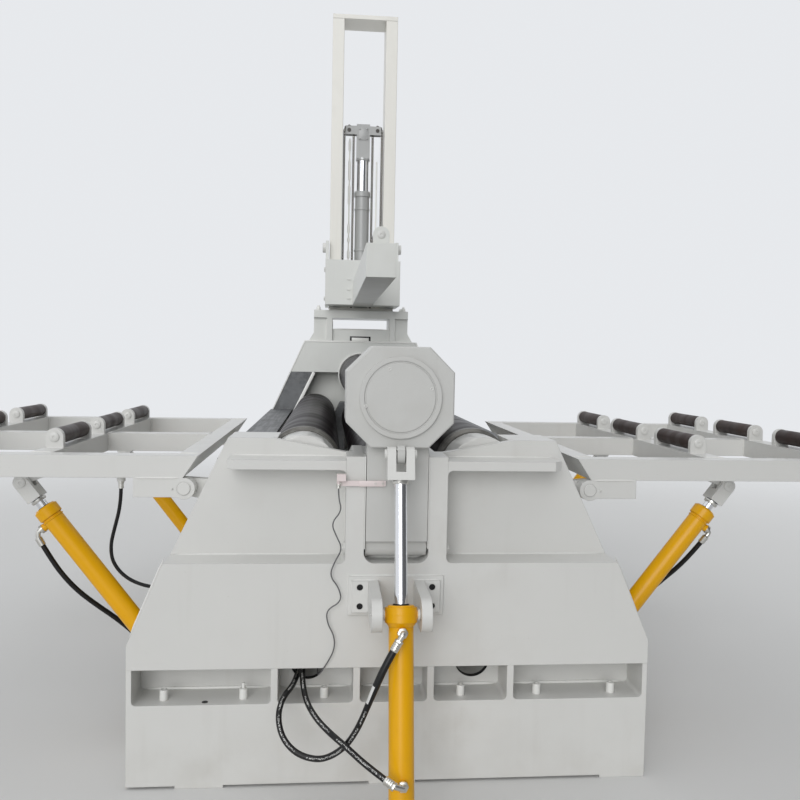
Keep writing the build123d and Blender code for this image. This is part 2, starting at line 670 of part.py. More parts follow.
def top_roll():
    """Return the top roll, with a tapered nose and a drive shaft."""
    body = barrel(0, TOP_ROLL_HEIGHT, TOP_ROLL_DIAMETER)
    body += round_y(0, TOP_ROLL_HEIGHT, TOP_JOURNAL_DIAMETER, HEAD_BACK, -BARREL_LENGTH / 2)
    body += roll_cone(HEAD_BACK, CONE_LENGTH, 0)
    end = OUTER_FACE - GUIDE_GAP
    return body + round_y(0, TOP_ROLL_HEIGHT, DRIVE_SHAFT_DIAMETER, BARREL_LENGTH / 2, end)


def side_housing():
    """Return the drop end's housing of the right side roll, with its lift rod."""
    half = SIDE_HOUSING_LENGTH / 2
    width = SIDE_HOUSING_WIDTH / 2
    corner = width * math.tan(math.radians(22.5))
    profile = [(-width, -half), (width, -half), (width, corner), (corner, width),
               (-corner, width), (-width, corner)]
    points = []
    for across, up in profile:
        x, z = along(along(SIDE_AXIS, SIDE_OUT, across), SIDE_UP, up)
        points.append((x, z))
    y0 = -HOUSING_MIDDLE - HOUSING_THICKNESS / 2
    body = prism_y(points, y0, y0 + HOUSING_THICKNESS)
    body -= round_y(SIDE_AXIS[0], SIDE_AXIS[1], SIDE_JOURNAL_DIAMETER + 2 * JOURNAL_FIT,
                    y0 - 1, y0 + HOUSING_THICKNESS + 1)
    top = along(SIDE_AXIS, SIDE_UP, -half)
    reach = (top[1] - LEDGE_HEIGHT) / SIDE_UP[1] + LIFT_ROD_LENGTH
    end = along(top, SIDE_UP, -reach)
    y = -HOUSING_MIDDLE
    return body + rod_between((top[0], y, top[1]), (end[0], y, end[1]), LIFT_ROD_DIAMETER)


def bottom_housing():
    """Return the drop end's housing of the bottom roll, with its lift rod."""
    half = BOTTOM_HOUSING_WIDTH / 2
    low = BOTTOM_ROLL_HEIGHT - BOTTOM_HOUSING_HEIGHT / 2
    y0 = -HOUSING_MIDDLE - HOUSING_THICKNESS / 2
    y1 = y0 + HOUSING_THICKNESS
    body = block((-half, half), (y0, y1), (low, low + BOTTOM_HOUSING_HEIGHT))
    bore = BOTTOM_JOURNAL_DIAMETER + 2 * JOURNAL_FIT
    body -= round_y(0, BOTTOM_ROLL_HEIGHT, bore, y0 - 1, y1 + 1)
    return body + round_z(0, -HOUSING_MIDDLE, LIFT_ROD_DIAMETER,
                          LEDGE_HEIGHT - LIFT_ROD_LENGTH, low)


# Drop head
def drop_head():
    """Return the tilting head: bearing block, stem, knuckle and cylinder tongue."""
    w, h, c = HEAD_HALF_WIDTH, HEAD_HALF_HEIGHT, HEAD_CHAMFER
    z = TOP_ROLL_HEIGHT
    octagon = [(-w + c, z - h), (w - c, z - h), (w, z - h + c), (w, z + h - c),
               (w - c, z + h), (-w + c, z + h), (-w, z + h - c), (-w, z - h + c)]
    head = prism_y(octagon, HEAD_FRONT, HEAD_BACK)
    head = chamfer(head.edges().group_by(Axis.Y)[0], EDGE_CHAMFER)
    seat = roll_cone(HEAD_BACK + 1, CONE_LENGTH + 1 + SEAT_END_GAP, CONE_GAP)
    head -= seat
    stem = block((-STEM_HALF_WIDTH, STEM_HALF_WIDTH), (STEM_FRONT, STEM_BACK),
                 (STEM_BOTTOM, z - h + c / 2))
    head += stem - seat
    half = KNUCKLE_DIAMETER / 2
    y = HEAD_PIVOT[1]
    span = (-STEM_HALF_WIDTH, STEM_HALF_WIDTH)
    head += block(span, (y - half, y + half), (HEAD_PIVOT[2], STEM_BOTTOM))
    head += round_x(y, HEAD_PIVOT[2], KNUCKLE_DIAMETER, *span)
    bore = HINGE_SHAFT_DIAMETER + 2 * JOURNAL_FIT
    head -= round_x(y, HEAD_PIVOT[2], bore, span[0] - 1, span[1] + 1)
    return head + head_tongue()


def head_tongue():
    """Return the tongue under the head that the drop cylinder pulls."""
    y, z = DROP_PIN[1], DROP_PIN[2]
    top = TOP_ROLL_HEIGHT - HEAD_HALF_HEIGHT
    half = TONGUE_THICKNESS / 2
    outline = [(y - TONGUE_RADIUS, z), (y, z - TONGUE_RADIUS), (STEM_FRONT, z - TONGUE_RADIUS),
               (STEM_FRONT, top), (HEAD_FRONT, top), (y - TONGUE_RADIUS, top)]
    tongue = prism_x(outline, -half, half)
    tongue += round_x(y, z, 2 * TONGUE_RADIUS, -half, half)
    hole = CLEVIS_PIN_DIAMETER + 2 * OPEN_PIVOT_CLEARANCE
    return tongue - round_x(y, z, hole, -half - 1, half + 1)


def head_cover():
    """Return the round cover on the head's face, with its ring groove."""
    back = HEAD_FRONT
    front = back - COVER_THICKNESS
    cover = round_y(0, TOP_ROLL_HEIGHT, COVER_DIAMETER, front, back)
    ring = round_y(0, TOP_ROLL_HEIGHT, COVER_GROOVE_DIAMETER, front - 1, front + COVER_GROOVE_DEPTH)
    core = COVER_GROOVE_DIAMETER - 2 * COVER_GROOVE_WIDTH
    ring -= round_y(0, TOP_ROLL_HEIGHT, core, front - 1, front + COVER_GROOVE_DEPTH)
    return cover - ring


def limit_switch_arm():
    """Return the bar on the stem with the switch and its gland at the free end."""
    top = DROP_PIN[2] - SWITCH_BAR_BELOW_PIN + SWITCH_BAR_HEIGHT / 2
    height = (top - SWITCH_BAR_HEIGHT, top)
    back = STEM_FRONT - SWITCH_BAR_STANDOFF
    front = back - SWITCH_BAR_THICKNESS
    arm = block((-SWITCH_REACH, -SWITCH_BAR_END), (front, back), height)
    arm += block((-SWITCH_BAR_END - SWITCH_FOOT_LENGTH, -SWITCH_BAR_END), (back, STEM_FRONT), height)
    arm += block((-SWITCH_REACH, -SWITCH_REACH + SWITCH_LENGTH), (back - SWITCH_DEPTH, back),
                 (top, top + SWITCH_HEIGHT))
    return arm + round_z(-SWITCH_REACH + GLAND_INSET, back - GLAND_SETBACK, GLAND_DIAMETER,
                         top - SWITCH_BAR_HEIGHT - GLAND_LENGTH, top)


def hinge_shaft():
    """Return the shaft that the head tilts on, held in the posts."""
    outer = SLOT_HALF_WIDTH + POST_WIDTH
    return round_x(HEAD_PIVOT[1], HEAD_PIVOT[2], HINGE_SHAFT_DIAMETER, -outer, outer)


# Hoses and their fittings
def port_face(point, way, diameter):
    """Return the middle of the face of a port beside a barrel's axis point."""
    return Vector(*point) + way * (diameter / 2 + PORT_HEIGHT)


def port_boss(point, way, diameter):
    """Return the round boss of a port, from inside the barrel's wall to its face."""
    root = Vector(*point) + way * PORT_ROOT
    return rod_between(root, port_face(point, way, diameter), PORT_DIAMETER)


def hose_elbow(face, way, hose, crimp_end):
    """Return the elbow from a port's face to where a hose ends, with nut and crimp."""
    end = face + Vector(*crimp_end)
    hose_way = (Vector(*hose[-1]) - Vector(*hose[-2])).normalized()
    crimp_top = end + hose_way * CRIMP_LENGTH
    path = FilletPolyline(face, face + way * ELBOW_REACH, crimp_top, radius=ELBOW_RADIUS)
    elbow = sweep(Plane(origin=face, z_dir=way) * Circle(ELBOW_DIAMETER / 2), path=path)
    elbow += rod_between(face, face + way * HOSE_NUT_LENGTH, HOSE_NUT_DIAMETER)
    return elbow + rod_between(crimp_top, end, CRIMP_DIAMETER)


def cord_tube(name, points, diameter):
    """Return the tube along a route, with arcs as large as its runs allow."""
    route = [Vector(*point) for point in points]
    radii = []
    for before, corner, after in zip(route, route[1:], route[2:]):
        turn = (corner - before).get_angle(after - corner)
        run = min((corner - before).length, (after - corner).length)
        radii.append(ARC_SHARE * run / math.tan(math.radians(turn / 2)))
    path = FilletPolyline(*route, radius=radii)
    section = Plane(origin=route[0], z_dir=route[1] - route[0]) * Circle(diameter / 2)
    tube = sweep(section, path=path)
    share = tube.volume / (math.pi * diameter**2 / 4 * path.length)
    print(f"{name}: length {path.length:.0f}, tightest arc {min(radii):.0f}, volume {share:.4f}")
    return tube


# Hose and wire routes, chosen by hand
DROP_HOSE_A = [(-364, -1690, 382), (-364, -1755, 382), (-367, -1845, 380), (-378, -1940, 376),
               (-401, -2028, 370), (-422, -2104, 344), (-434, -2162, 298), (-428, -2206, 243),
               (-388, -2236, 200), (-320, -2258, 186), (-252, -2292, 218), (-190, -2330, 288),
               (-148, -2356, 372), (-118, -2374, 450), (-90, -2382, 526), (-61, -2381, 594),
               (-33, -2374, 642)]
DROP_HOSE_B = [(-344, -1690, 432), (-344, -1755, 432), (-346, -1845, 430), (-350, -1940, 420),
               (-346, -2035, 398), (-330, -2118, 363), (-292, -2200, 335), (-244, -2282, 321),
               (-193, -2358, 311), (-144, -2418, 291), (-101, -2452, 270), (-62, -2476, 250)]
SENSOR_WIRE = [(-222, -2056, 1150), (-222, -2056, 1110), (-208, -2055, 1062), (-248, -2053, 1014),
               (-228, -2052, 966), (-204, -2052, 918), (-232, -2050, 868), (-252, -2050, 816),
               (-214, -2052, 768), (-204, -2056, 718), (-262, -2054, 686), (-256, -2051, 632),
               (-230, -2049, 586), (-228, -2050, 534), (-254, -2048, 482), (-282, -2028, 434),
               (-290, -1978, 408), (-292, -1918, 408), (-293, -1858, 412), (-292, -1798, 412),
               (-293, -1742, 413), (-293, -1690, 413)]
LEFT_NEAR_HOSE = [(-854, -1312, 172), (-930, -1312, 172), (-1008, -1330, 224),
                  (-1064, -1356, 304), (-1122, -1388, 388), (-1190, -1424, 464),
                  (-1261, -1461, 533), (-1327, -1494, 602), (-1383, -1517, 676),
                  (-1430, -1527, 752), (-1464, -1529, 812)]
RIGHT_NEAR_HOSE = [(854, -1300, 172), (930, -1300, 172), (1008, -1304, 224), (1066, -1316, 304),
                   (1124, -1334, 388), (1186, -1360, 470), (1250, -1390, 548),
                   (1312, -1424, 622), (1368, -1462, 692), (1412, -1496, 762),
                   (1446, -1518, 820)]
LEFT_HANGING_HOSE = [(-1098, -1700, 1115), (-1098, -1700, 1060), (-1112, -1676, 985),
                     (-1138, -1646, 908), (-1160, -1622, 832), (-1156, -1606, 758),
                     (-1112, -1600, 697), (-1050, -1594, 660), (-980, -1580, 640),
                     (-914, -1552, 606), (-866, -1512, 552), (-834, -1470, 486),
                     (-812, -1436, 412), (-800, -1415, 336), (-798, -1412, 278),
                     (-798, -1412, 224)]


def hose_cords():
    """Return every hose and the wire, by name."""
    routes = {"drop_hose_a": (DROP_HOSE_A, HOSE_DIAMETER),
              "drop_hose_b": (DROP_HOSE_B, HOSE_DIAMETER),
              "sensor_wire": (SENSOR_WIRE, WIRE_DIAMETER),
              "left_near_hose": (LEFT_NEAR_HOSE, HOSE_DIAMETER),
              "right_near_hose": (RIGHT_NEAR_HOSE, HOSE_DIAMETER),
              "left_hanging_hose": (LEFT_HANGING_HOSE, RETURN_HOSE_DIAMETER)}
    return {name: cord_tube(name, *route) for name, route in routes.items()}


def drop_hose_fittings():
    """Return the two elbows on the drop cylinder."""
    hoses = (DROP_HOSE_A, DROP_HOSE_B)
    faces = [port_face(drop_point(-port), DROP_PORT_WAY, DROP_BARREL_DIAMETER)
             for port in DROP_PORTS]
    ends = (UPPER_CRIMP_END, LOWER_CRIMP_END)
    return [hose_elbow(face, DROP_PORT_WAY, hose, end)
            for face, hose, end in zip(faces, hoses, ends)]


def bed_ports():
    """Return the ports on the bed that the table hoses end in."""
    ports = []
    for hose in (LEFT_NEAR_HOSE, RIGHT_NEAR_HOSE):
        x, y, z = hose[0]
        side = math.copysign(BED_BEAM_OUTER, x)
        ports.append(rod_between((side, y, z), (x, y, z), PORT_DIAMETER))
    x, y, z = LEFT_HANGING_HOSE[-1]
    ports.append(round_z(x, y, PORT_DIAMETER, BED_BEAM_HEIGHT, z))
    return ports


def beam_port():
    """Return the port under the left table's near beam."""
    x, y, z = LEFT_HANGING_HOSE[0]
    return round_z(x, y, PORT_DIAMETER, z, TABLE_BEAM_BOTTOM)


# Drop cylinder
DROP_AXIS = (Vector(*DROP_PIN) - Vector(*DROP_TRUNNION)).normalized()
DROP_REACH = (Vector(*DROP_PIN) - Vector(*DROP_TRUNNION)).length
DROP_PORT_WAY = Vector(0, -DROP_AXIS.Z, DROP_AXIS.Y)


def drop_point(distance):
    """Return the point on the drop cylinder's axis at a distance above the trunnion."""
    point = Vector(*DROP_TRUNNION) + DROP_AXIS * distance
    return (point.X, point.Y, point.Z)


def drop_cylinder_barrel():
    """Return the barrel with its trunnion pins and end cap."""
    bottom = DROP_COLLAR_BELOW + DROP_BARREL_LENGTH
    body = rod_between(drop_point(-bottom), drop_point(0), DROP_BARREL_DIAMETER)
    body += rod_between(drop_point(-DROP_COLLAR_BELOW), drop_point(DROP_COLLAR_ABOVE),
                        DROP_COLLAR_DIAMETER)
    body += rod_between(drop_point(-bottom), drop_point(-bottom + DROP_CAP_LENGTH),
                        DROP_CAP_DIAMETER)
    reach = DROP_COLLAR_DIAMETER / 2 + TRUNNION_PIN_LENGTH
    body += round_x(DROP_TRUNNION[1], DROP_TRUNNION[2], TRUNNION_PIN_DIAMETER, -reach, reach)
    for port in DROP_PORTS:
        body += port_boss(drop_point(-port), DROP_PORT_WAY, DROP_BARREL_DIAMETER)
    bore = DROP_ROD_DIAMETER + 2 * JOURNAL_FIT
    return body - rod_between(drop_point(-bottom + DROP_CAP_LENGTH),
                              drop_point(DROP_COLLAR_ABOVE + 1), bore)


def drop_cylinder_rod():
    """Return the rod with its clevis and pin."""
    base = Plane(origin=DROP_PIN, x_dir=(1, 0, 0), z_dir=DROP_AXIS)
    fork = base * Pos(0, 0, -CLEVIS_LENGTH / 2) * Box(CLEVIS_WIDTH, CLEVIS_DEPTH, CLEVIS_LENGTH)
    fork += round_x(DROP_PIN[1], DROP_PIN[2], CLEVIS_DEPTH, -CLEVIS_WIDTH / 2, CLEVIS_WIDTH / 2)
    slot = base * Pos(0, 0, CLEVIS_DEPTH / 2 - CLEVIS_SLOT_LENGTH / 2)
    depth = CLEVIS_DEPTH + CLEVIS_SLOT_LENGTH
    fork -= slot * Box(CLEVIS_SLOT, 2 * CLEVIS_DEPTH, depth)
    pin_reach = CLEVIS_WIDTH / 2 + CLEVIS_PIN_DIAMETER / 4
    fork += round_x(DROP_PIN[1], DROP_PIN[2], CLEVIS_PIN_DIAMETER, -pin_reach, pin_reach)
    start = drop_point(DROP_REACH - CLEVIS_LENGTH)
    return fork + rod_between(start, drop_point(-DROP_ROD_INSIDE), DROP_ROD_DIAMETER)


def trunnion_bracket():
    """Return the pad, the two base plates and the ears that carry the trunnion."""
    pad_front = FRONT - BRACKET_PAD_THICKNESS
    base_front = pad_front - BRACKET_BASE_THICKNESS
    height = (DROP_TRUNNION[2] - BRACKET_PAD_BELOW, DROP_TRUNNION[2] + BRACKET_PAD_ABOVE)
    pad = block((-BRACKET_PAD_HALF_WIDTH, BRACKET_PAD_HALF_WIDTH), (pad_front, FRONT), height)
    margin = BRACKET_BASE_MARGIN
    base = block((BRACKET_BASE_INNER, BRACKET_PAD_HALF_WIDTH - margin), (base_front, pad_front),
                 (height[0] + margin, height[1] - margin))
    y, z = DROP_TRUNNION[1], DROP_TRUNNION[2]
    low = height[0] + margin
    high = height[1] - margin
    ear_outline = [(pad_front, low), (pad_front, high), (y + EAR_RADIUS, z + EAR_RADIUS),
                   (y, z + EAR_RADIUS), (y, z - EAR_RADIUS)]
    outer = EAR_INNER + EAR_THICKNESS
    ear = prism_x(ear_outline, EAR_INNER, outer)
    ear += round_x(y, z, 2 * EAR_RADIUS, EAR_INNER, outer)
    ear -= round_x(y, z, TRUNNION_PIN_DIAMETER + 2 * JOURNAL_FIT, EAR_INNER - 1, outer + 1)
    side = base + ear
    x = (outer + BRACKET_PAD_HALF_WIDTH - margin) / 2
    for screw in (low + SCREW_DIAMETER, high - SCREW_DIAMETER):
        side -= round_y(x, screw, SCREW_DIAMETER, base_front - 1, base_front + SCREW_DEPTH)
    return pad + side + mirrored(side)


# Side tables, built on the right side
def table_rails():
    """Return the three rails of the right table."""
    near = TABLE_NEAR_END + TABLE_BEAM_WIDTH
    far = TABLE_FAR_END - TABLE_BEAM_WIDTH
    inner = prism_y([(TABLE_INNER_TOP, TABLE_TOP), (TABLE_INNER_BOTTOM, TABLE_BEAM_BOTTOM),
                     (TABLE_INNER_BACK, TABLE_BEAM_BOTTOM), (TABLE_INNER_BACK, TABLE_TOP)], near, far)
    half = TABLE_BEAM_WIDTH / 2
    height = (TABLE_BEAM_BOTTOM, TABLE_TOP)
    return [inner] + [block((row - half, row + half), (near, far), height) for row in ROW_OFFSETS]


def table_brackets():
    """Return the right table's roller brackets and the tongues of its cylinders."""
    brackets = [table_tongue(y) for y in TABLE_CYLINDER_PLACES]
    for row in ROW_OFFSETS:
        for place in range(ROLLER_COUNT):
            start = ROLLER_FIRST + place * ROLLER_PITCH
            for y in (start, start + ROLLER_BRACKET_THICKNESS + ROLLER_LENGTH + 2 * ROLLER_END_GAP):
                brackets.append(roller_bracket(row, y, TABLE_TOP, ROLLER_AXIS_ABOVE,
                                               ROLLER_BRACKET_RADIUS))
    return brackets


def roller_bracket(x, y, floor, above, radius):
    """Return one upright bracket with a round top and the hole of the roller pin."""
    y1 = y + ROLLER_BRACKET_THICKNESS
    bracket = block((x - radius, x + radius), (y, y1), (floor, floor + above))
    bracket += round_y(x, floor + above, 2 * radius, y, y1)
    hole = ROLLER_PIN_DIAMETER + 2 * JOURNAL_FIT
    return bracket - round_y(x, floor + above, hole, y - 1, y1 + 1)


def roller_row(x, height, first, count, pitch, diameter, length):
    """Return the rollers of one row, each with its pin."""
    rollers = []
    for place in range(count):
        start = first + place * pitch
        body_start = start + ROLLER_BRACKET_THICKNESS + ROLLER_END_GAP
        end = body_start + length + ROLLER_END_GAP + ROLLER_BRACKET_THICKNESS
        body = round_y(x, height, diameter, body_start, body_start + length)
        rollers.append(body + round_y(x, height, ROLLER_PIN_DIAMETER, start, end))
    return rollers


def table_tongue(y):
    """Return the tongue under the inner rail that a table cylinder pushes."""
    x, z = TABLE_PIN_OFFSET, TABLE_PIN_HEIGHT
    half = TABLE_TONGUE_THICKNESS / 2
    radius = TABLE_TONGUE_RADIUS
    inner = ROW_OFFSETS[0] - TABLE_BEAM_WIDTH / 2
    outline = [(inner, TABLE_BEAM_BOTTOM), (x + radius, TABLE_BEAM_BOTTOM), (x + radius, z),
               (x, z - radius), (x - radius, z)]
    tongue = prism_y(outline, y - half, y + half)
    tongue += round_y(x, z, 2 * radius, y - half, y + half)
    hole = TABLE_CLEVIS_PIN_DIAMETER + 2 * OPEN_PIVOT_CLEARANCE
    return tongue - round_y(x, z, hole, y - half - 1, y + half + 1)


def table_cross_beams():
    """Return the right table's cross beams, with the hinge blocks under the end ones."""
    outer = ROW_OFFSETS[-1] + TABLE_BEAM_WIDTH / 2
    outline = [(TABLE_INNER_TOP, TABLE_TOP), (TABLE_INNER_BOTTOM, TABLE_BEAM_BOTTOM),
               (outer, TABLE_BEAM_BOTTOM), (outer, TABLE_TOP)]
    beams = []
    for y in (TABLE_NEAR_END, TABLE_FAR_END - TABLE_BEAM_WIDTH):
        beams.append(prism_y(outline, y, y + TABLE_BEAM_WIDTH) + hinge_block(y))
    mid = (TABLE_MID_BEAM, TABLE_MID_BEAM + TABLE_BEAM_WIDTH)
    half = TABLE_BEAM_WIDTH / 2
    starts = (TABLE_INNER_BACK, ROW_OFFSETS[0] + half)
    ends = (ROW_OFFSETS[0] - half, ROW_OFFSETS[1] - half)
    for start, end in zip(starts, ends):
        beams.append(block((start, end), mid, (TABLE_BEAM_BOTTOM, TABLE_TOP)))
    return beams


def hinge_block(y):
    """Return the block under a cross beam that turns on the hinge pin."""
    x, z = TABLE_HINGE_OFFSET, TABLE_HINGE_HEIGHT
    y1 = y + HINGE_BLOCK_THICKNESS
    bottom = TABLE_BEAM_BOTTOM - HINGE_BLOCK_HEIGHT
    hinge = block((x, x + HINGE_BLOCK_LENGTH), (y, y1), (bottom, TABLE_BEAM_BOTTOM))
    hinge += round_y(x, z, 2 * HINGE_BLOCK_BEHIND, y, y1)
    hinge -= block((x - TABLE_HINGE_OFFSET, x + TABLE_HINGE_OFFSET), (y - 1, y1 + 1),
                   (TABLE_BEAM_BOTTOM, TABLE_TOP))
    return hinge - round_y(x, z, TABLE_PIN_DIAMETER + 2 * JOURNAL_FIT, y - 1, y1 + 1)


def table_hinge_lugs():
    """Return the right side's lugs with the pins that the table turns on."""
    x, z = TABLE_HINGE_OFFSET, TABLE_HINGE_HEIGHT
    cheek = (LEDGE_HALF_WIDTH - TOP_HALF_WIDTH) / (TOP_HEIGHT - LEDGE_HEIGHT)
    lugs = []
    for y, on_frame in ((TABLE_NEAR_END, True), (TABLE_FAR_END - TABLE_BEAM_WIDTH, False)):
        back = y + HINGE_BLOCK_THICKNESS + LUG_GAP
        top, bottom = z + LUG_ROOT_ABOVE, z - LUG_ROOT_BELOW
        if on_frame:
            roots = [TOP_HALF_WIDTH + (TOP_HEIGHT - level) * cheek for level in (top, bottom)]
        else:
            roots = [GIRDER_OUTER, GIRDER_OUTER]
            bottom = max(bottom, GIRDER_TOP - GIRDER_HEIGHT)
        outline = [(roots[0], top), (roots[1], bottom), (x, z - LUG_RADIUS), (x, z + LUG_RADIUS)]
        lug = prism_y(outline, back, back + LUG_THICKNESS)
        lug += round_y(x, z, 2 * LUG_RADIUS, back, back + LUG_THICKNESS)
        lugs.append(lug + round_y(x, z, TABLE_PIN_DIAMETER, y, back))
    return lugs


# Table cylinders, built on the right side
TABLE_LINE = Vector(TABLE_PIN_OFFSET - TABLE_FOOT_OFFSET, 0, TABLE_PIN_HEIGHT - TABLE_FOOT_HEIGHT)
TABLE_REACH = TABLE_LINE.length
TABLE_DIRECTION = TABLE_LINE.normalized()
TABLE_PORT_WAY = Vector(TABLE_DIRECTION.Z, 0, -TABLE_DIRECTION.X)


def table_point(distance, y):
    """Return the point of a table cylinder's axis at a distance from its foot."""
    point = Vector(TABLE_FOOT_OFFSET, y, TABLE_FOOT_HEIGHT) + TABLE_DIRECTION * distance
    return (point.X, point.Y, point.Z)


def table_barrel(y):
    """Return one barrel with its collar and foot eye."""
    head = TABLE_REACH - TABLE_HEAD_DISTANCE
    body = rod_between(table_point(TABLE_FOOT_DISTANCE, y), table_point(head, y),
                       TABLE_BARREL_DIAMETER)
    body += rod_between(table_point(head - TABLE_COLLAR_LENGTH, y), table_point(head, y),
                        TABLE_COLLAR_DIAMETER)
    body += rod_between(table_point(0, y), table_point(TABLE_FOOT_DISTANCE, y), FOOT_EYE_THICKNESS)
    half = FOOT_EYE_THICKNESS / 2
    foot = (TABLE_FOOT_OFFSET, TABLE_FOOT_HEIGHT)
    body += round_y(foot[0], foot[1], 2 * FOOT_EYE_RADIUS, y - half, y + half)
    eye = FOOT_PIN_DIAMETER + 2 * JOURNAL_FIT
    body -= round_y(foot[0], foot[1], eye, y - TABLE_BARREL_DIAMETER, y + TABLE_BARREL_DIAMETER)
    port = table_point(TABLE_REACH - TABLE_PORT_DISTANCE, y)
    body += port_boss(port, TABLE_PORT_WAY, TABLE_BARREL_DIAMETER)
    bore = TABLE_ROD_DIAMETER + 2 * JOURNAL_FIT
    inside = head - TABLE_ROD_INSIDE - GUIDE_GAP
    return body - rod_between(table_point(inside, y), table_point(head + 1, y), bore)


def table_elbow(hose, crimp_end):
    """Return the elbow on the near barrel for a hose of the right side."""
    port = table_point(TABLE_REACH - TABLE_PORT_DISTANCE, TABLE_CYLINDER_NEAR)
    face = port_face(port, TABLE_PORT_WAY, TABLE_BARREL_DIAMETER)
    return hose_elbow(face, TABLE_PORT_WAY, hose, crimp_end)


def table_rod(y):
    """Return one rod with its clevis and pin."""
    pin = table_point(TABLE_REACH, y)
    base = Plane(origin=pin, x_dir=(0, 1, 0), z_dir=TABLE_DIRECTION)
    fork = base * Pos(0, 0, -TABLE_CLEVIS_LENGTH / 2)
    body = fork * Box(TABLE_CLEVIS_WIDTH, TABLE_CLEVIS_DEPTH, TABLE_CLEVIS_LENGTH)
    half = TABLE_CLEVIS_WIDTH / 2
    body += round_y(pin[0], pin[2], TABLE_CLEVIS_DEPTH, y - half, y + half)
    slot = 2 * TABLE_CLEVIS_DEPTH
    body -= base * Box(TABLE_CLEVIS_SLOT, slot, TABLE_TONGUE_RADIUS * 2 + 2 * OPEN_PIVOT_CLEARANCE)
    body += round_y(pin[0], pin[2], TABLE_CLEVIS_PIN_DIAMETER, y - half, y + half)
    head = TABLE_REACH - TABLE_HEAD_DISTANCE
    return body + rod_between(table_point(TABLE_REACH - TABLE_CLEVIS_LENGTH, y),
                              table_point(head - TABLE_ROD_INSIDE, y), TABLE_ROD_DIAMETER)


def foot_lugs(y):
    """Return the two lug plates and the pin at one barrel's foot, on the bed beam."""
    x, z = TABLE_FOOT_OFFSET, TABLE_FOOT_HEIGHT
    inner = FOOT_EYE_THICKNESS / 2 + FOOT_LUG_GAP
    outer = inner + FOOT_LUG_THICKNESS
    radius = FOOT_EYE_RADIUS
    outline = [(BED_BEAM_OUTER, PAD_THICKNESS + radius), (x + radius, z), (x, z + radius),
               (BED_BEAM_OUTER, BED_BEAM_HEIGHT)]
    lug = prism_y(outline, y + inner, y + outer)
    lug += round_y(x, z, 2 * radius, y + inner, y + outer)
    twin = Pos(0, -inner - outer, 0) * lug
    return lug + twin + round_y(x, z, FOOT_PIN_DIAMETER, y - outer, y + outer)


# Mast
def mast_platform():
    """Return the platform on the drive end frame that carries the mast."""
    depth = (PLATFORM_FRONT, PLATFORM_BACK)
    height = (DRIVE_TOP_HEIGHT, PLATFORM_PLATE_BOTTOM)
    web = (PLATFORM_FRONT + PLATFORM_WEB_INSET, PLATFORM_BACK)
    flange = PLATFORM_POST_INNER + PLATFORM_FLANGE
    post = block((PLATFORM_POST_INNER, flange), depth, height)
    post += block((flange, PLATFORM_HALF_WIDTH), web, height)
    gusset = prism_y([(PLATFORM_HALF_WIDTH, DRIVE_TOP_HEIGHT),
                      (PLATFORM_HALF_WIDTH + GUSSET_WIDTH, DRIVE_TOP_HEIGHT),
                      (PLATFORM_HALF_WIDTH, DRIVE_TOP_HEIGHT + GUSSET_HEIGHT)],
                     web[0], web[0] + GUSSET_THICKNESS)
    platform = block((-PLATFORM_HALF_WIDTH, PLATFORM_HALF_WIDTH), depth,
                     (PLATFORM_PLATE_BOTTOM, PLATFORM_TOP))
    platform += block((-PLATFORM_POST_INNER, PLATFORM_POST_INNER),
                      (web[0], web[0] + CROSS_PLATE_THICKNESS),
                      (DRIVE_TOP_HEIGHT, DRIVE_TOP_HEIGHT + CROSS_PLATE_HEIGHT))
    for side in both_sides([post + gusset]):
        platform += side
    return platform


def mast_portal():
    """Return the two uprights with their foot plate and crosspiece."""
    depth = (UPRIGHT_FRONT, UPRIGHT_BACK)
    foot_top = MAST_FOOT_TOP
    portal = block((-UPRIGHT_OUTER, UPRIGHT_OUTER), depth, (PLATFORM_TOP, foot_top))
    portal += block((-UPRIGHT_OUTER, UPRIGHT_OUTER), depth, (MAST_TOP - MAST_CROSSPIECE, MAST_TOP))
    for upright in both_sides([block((UPRIGHT_INNER, UPRIGHT_OUTER), depth, (foot_top, MAST_TOP))]):
        portal += upright
    return portal


def mast_cylinder():
    """Return the lift cylinder's barrel."""
    body = round_z(0, MAST_AXIS, MAST_BARREL_DIAMETER, MAST_FOOT_TOP, MAST_BARREL_TOP)
    body += round_z(0, MAST_AXIS, MAST_BARREL_COLLAR, MAST_BARREL_TOP - MAST_COLLAR_LENGTH,
                    MAST_BARREL_TOP)
    bore = PLUNGER_DIAMETER + 2 * JOURNAL_FIT
    low = MAST_BARREL_TOP - PLUNGER_INSIDE - GUIDE_GAP
    return body - round_z(0, MAST_AXIS, bore, low, MAST_BARREL_TOP + 1)


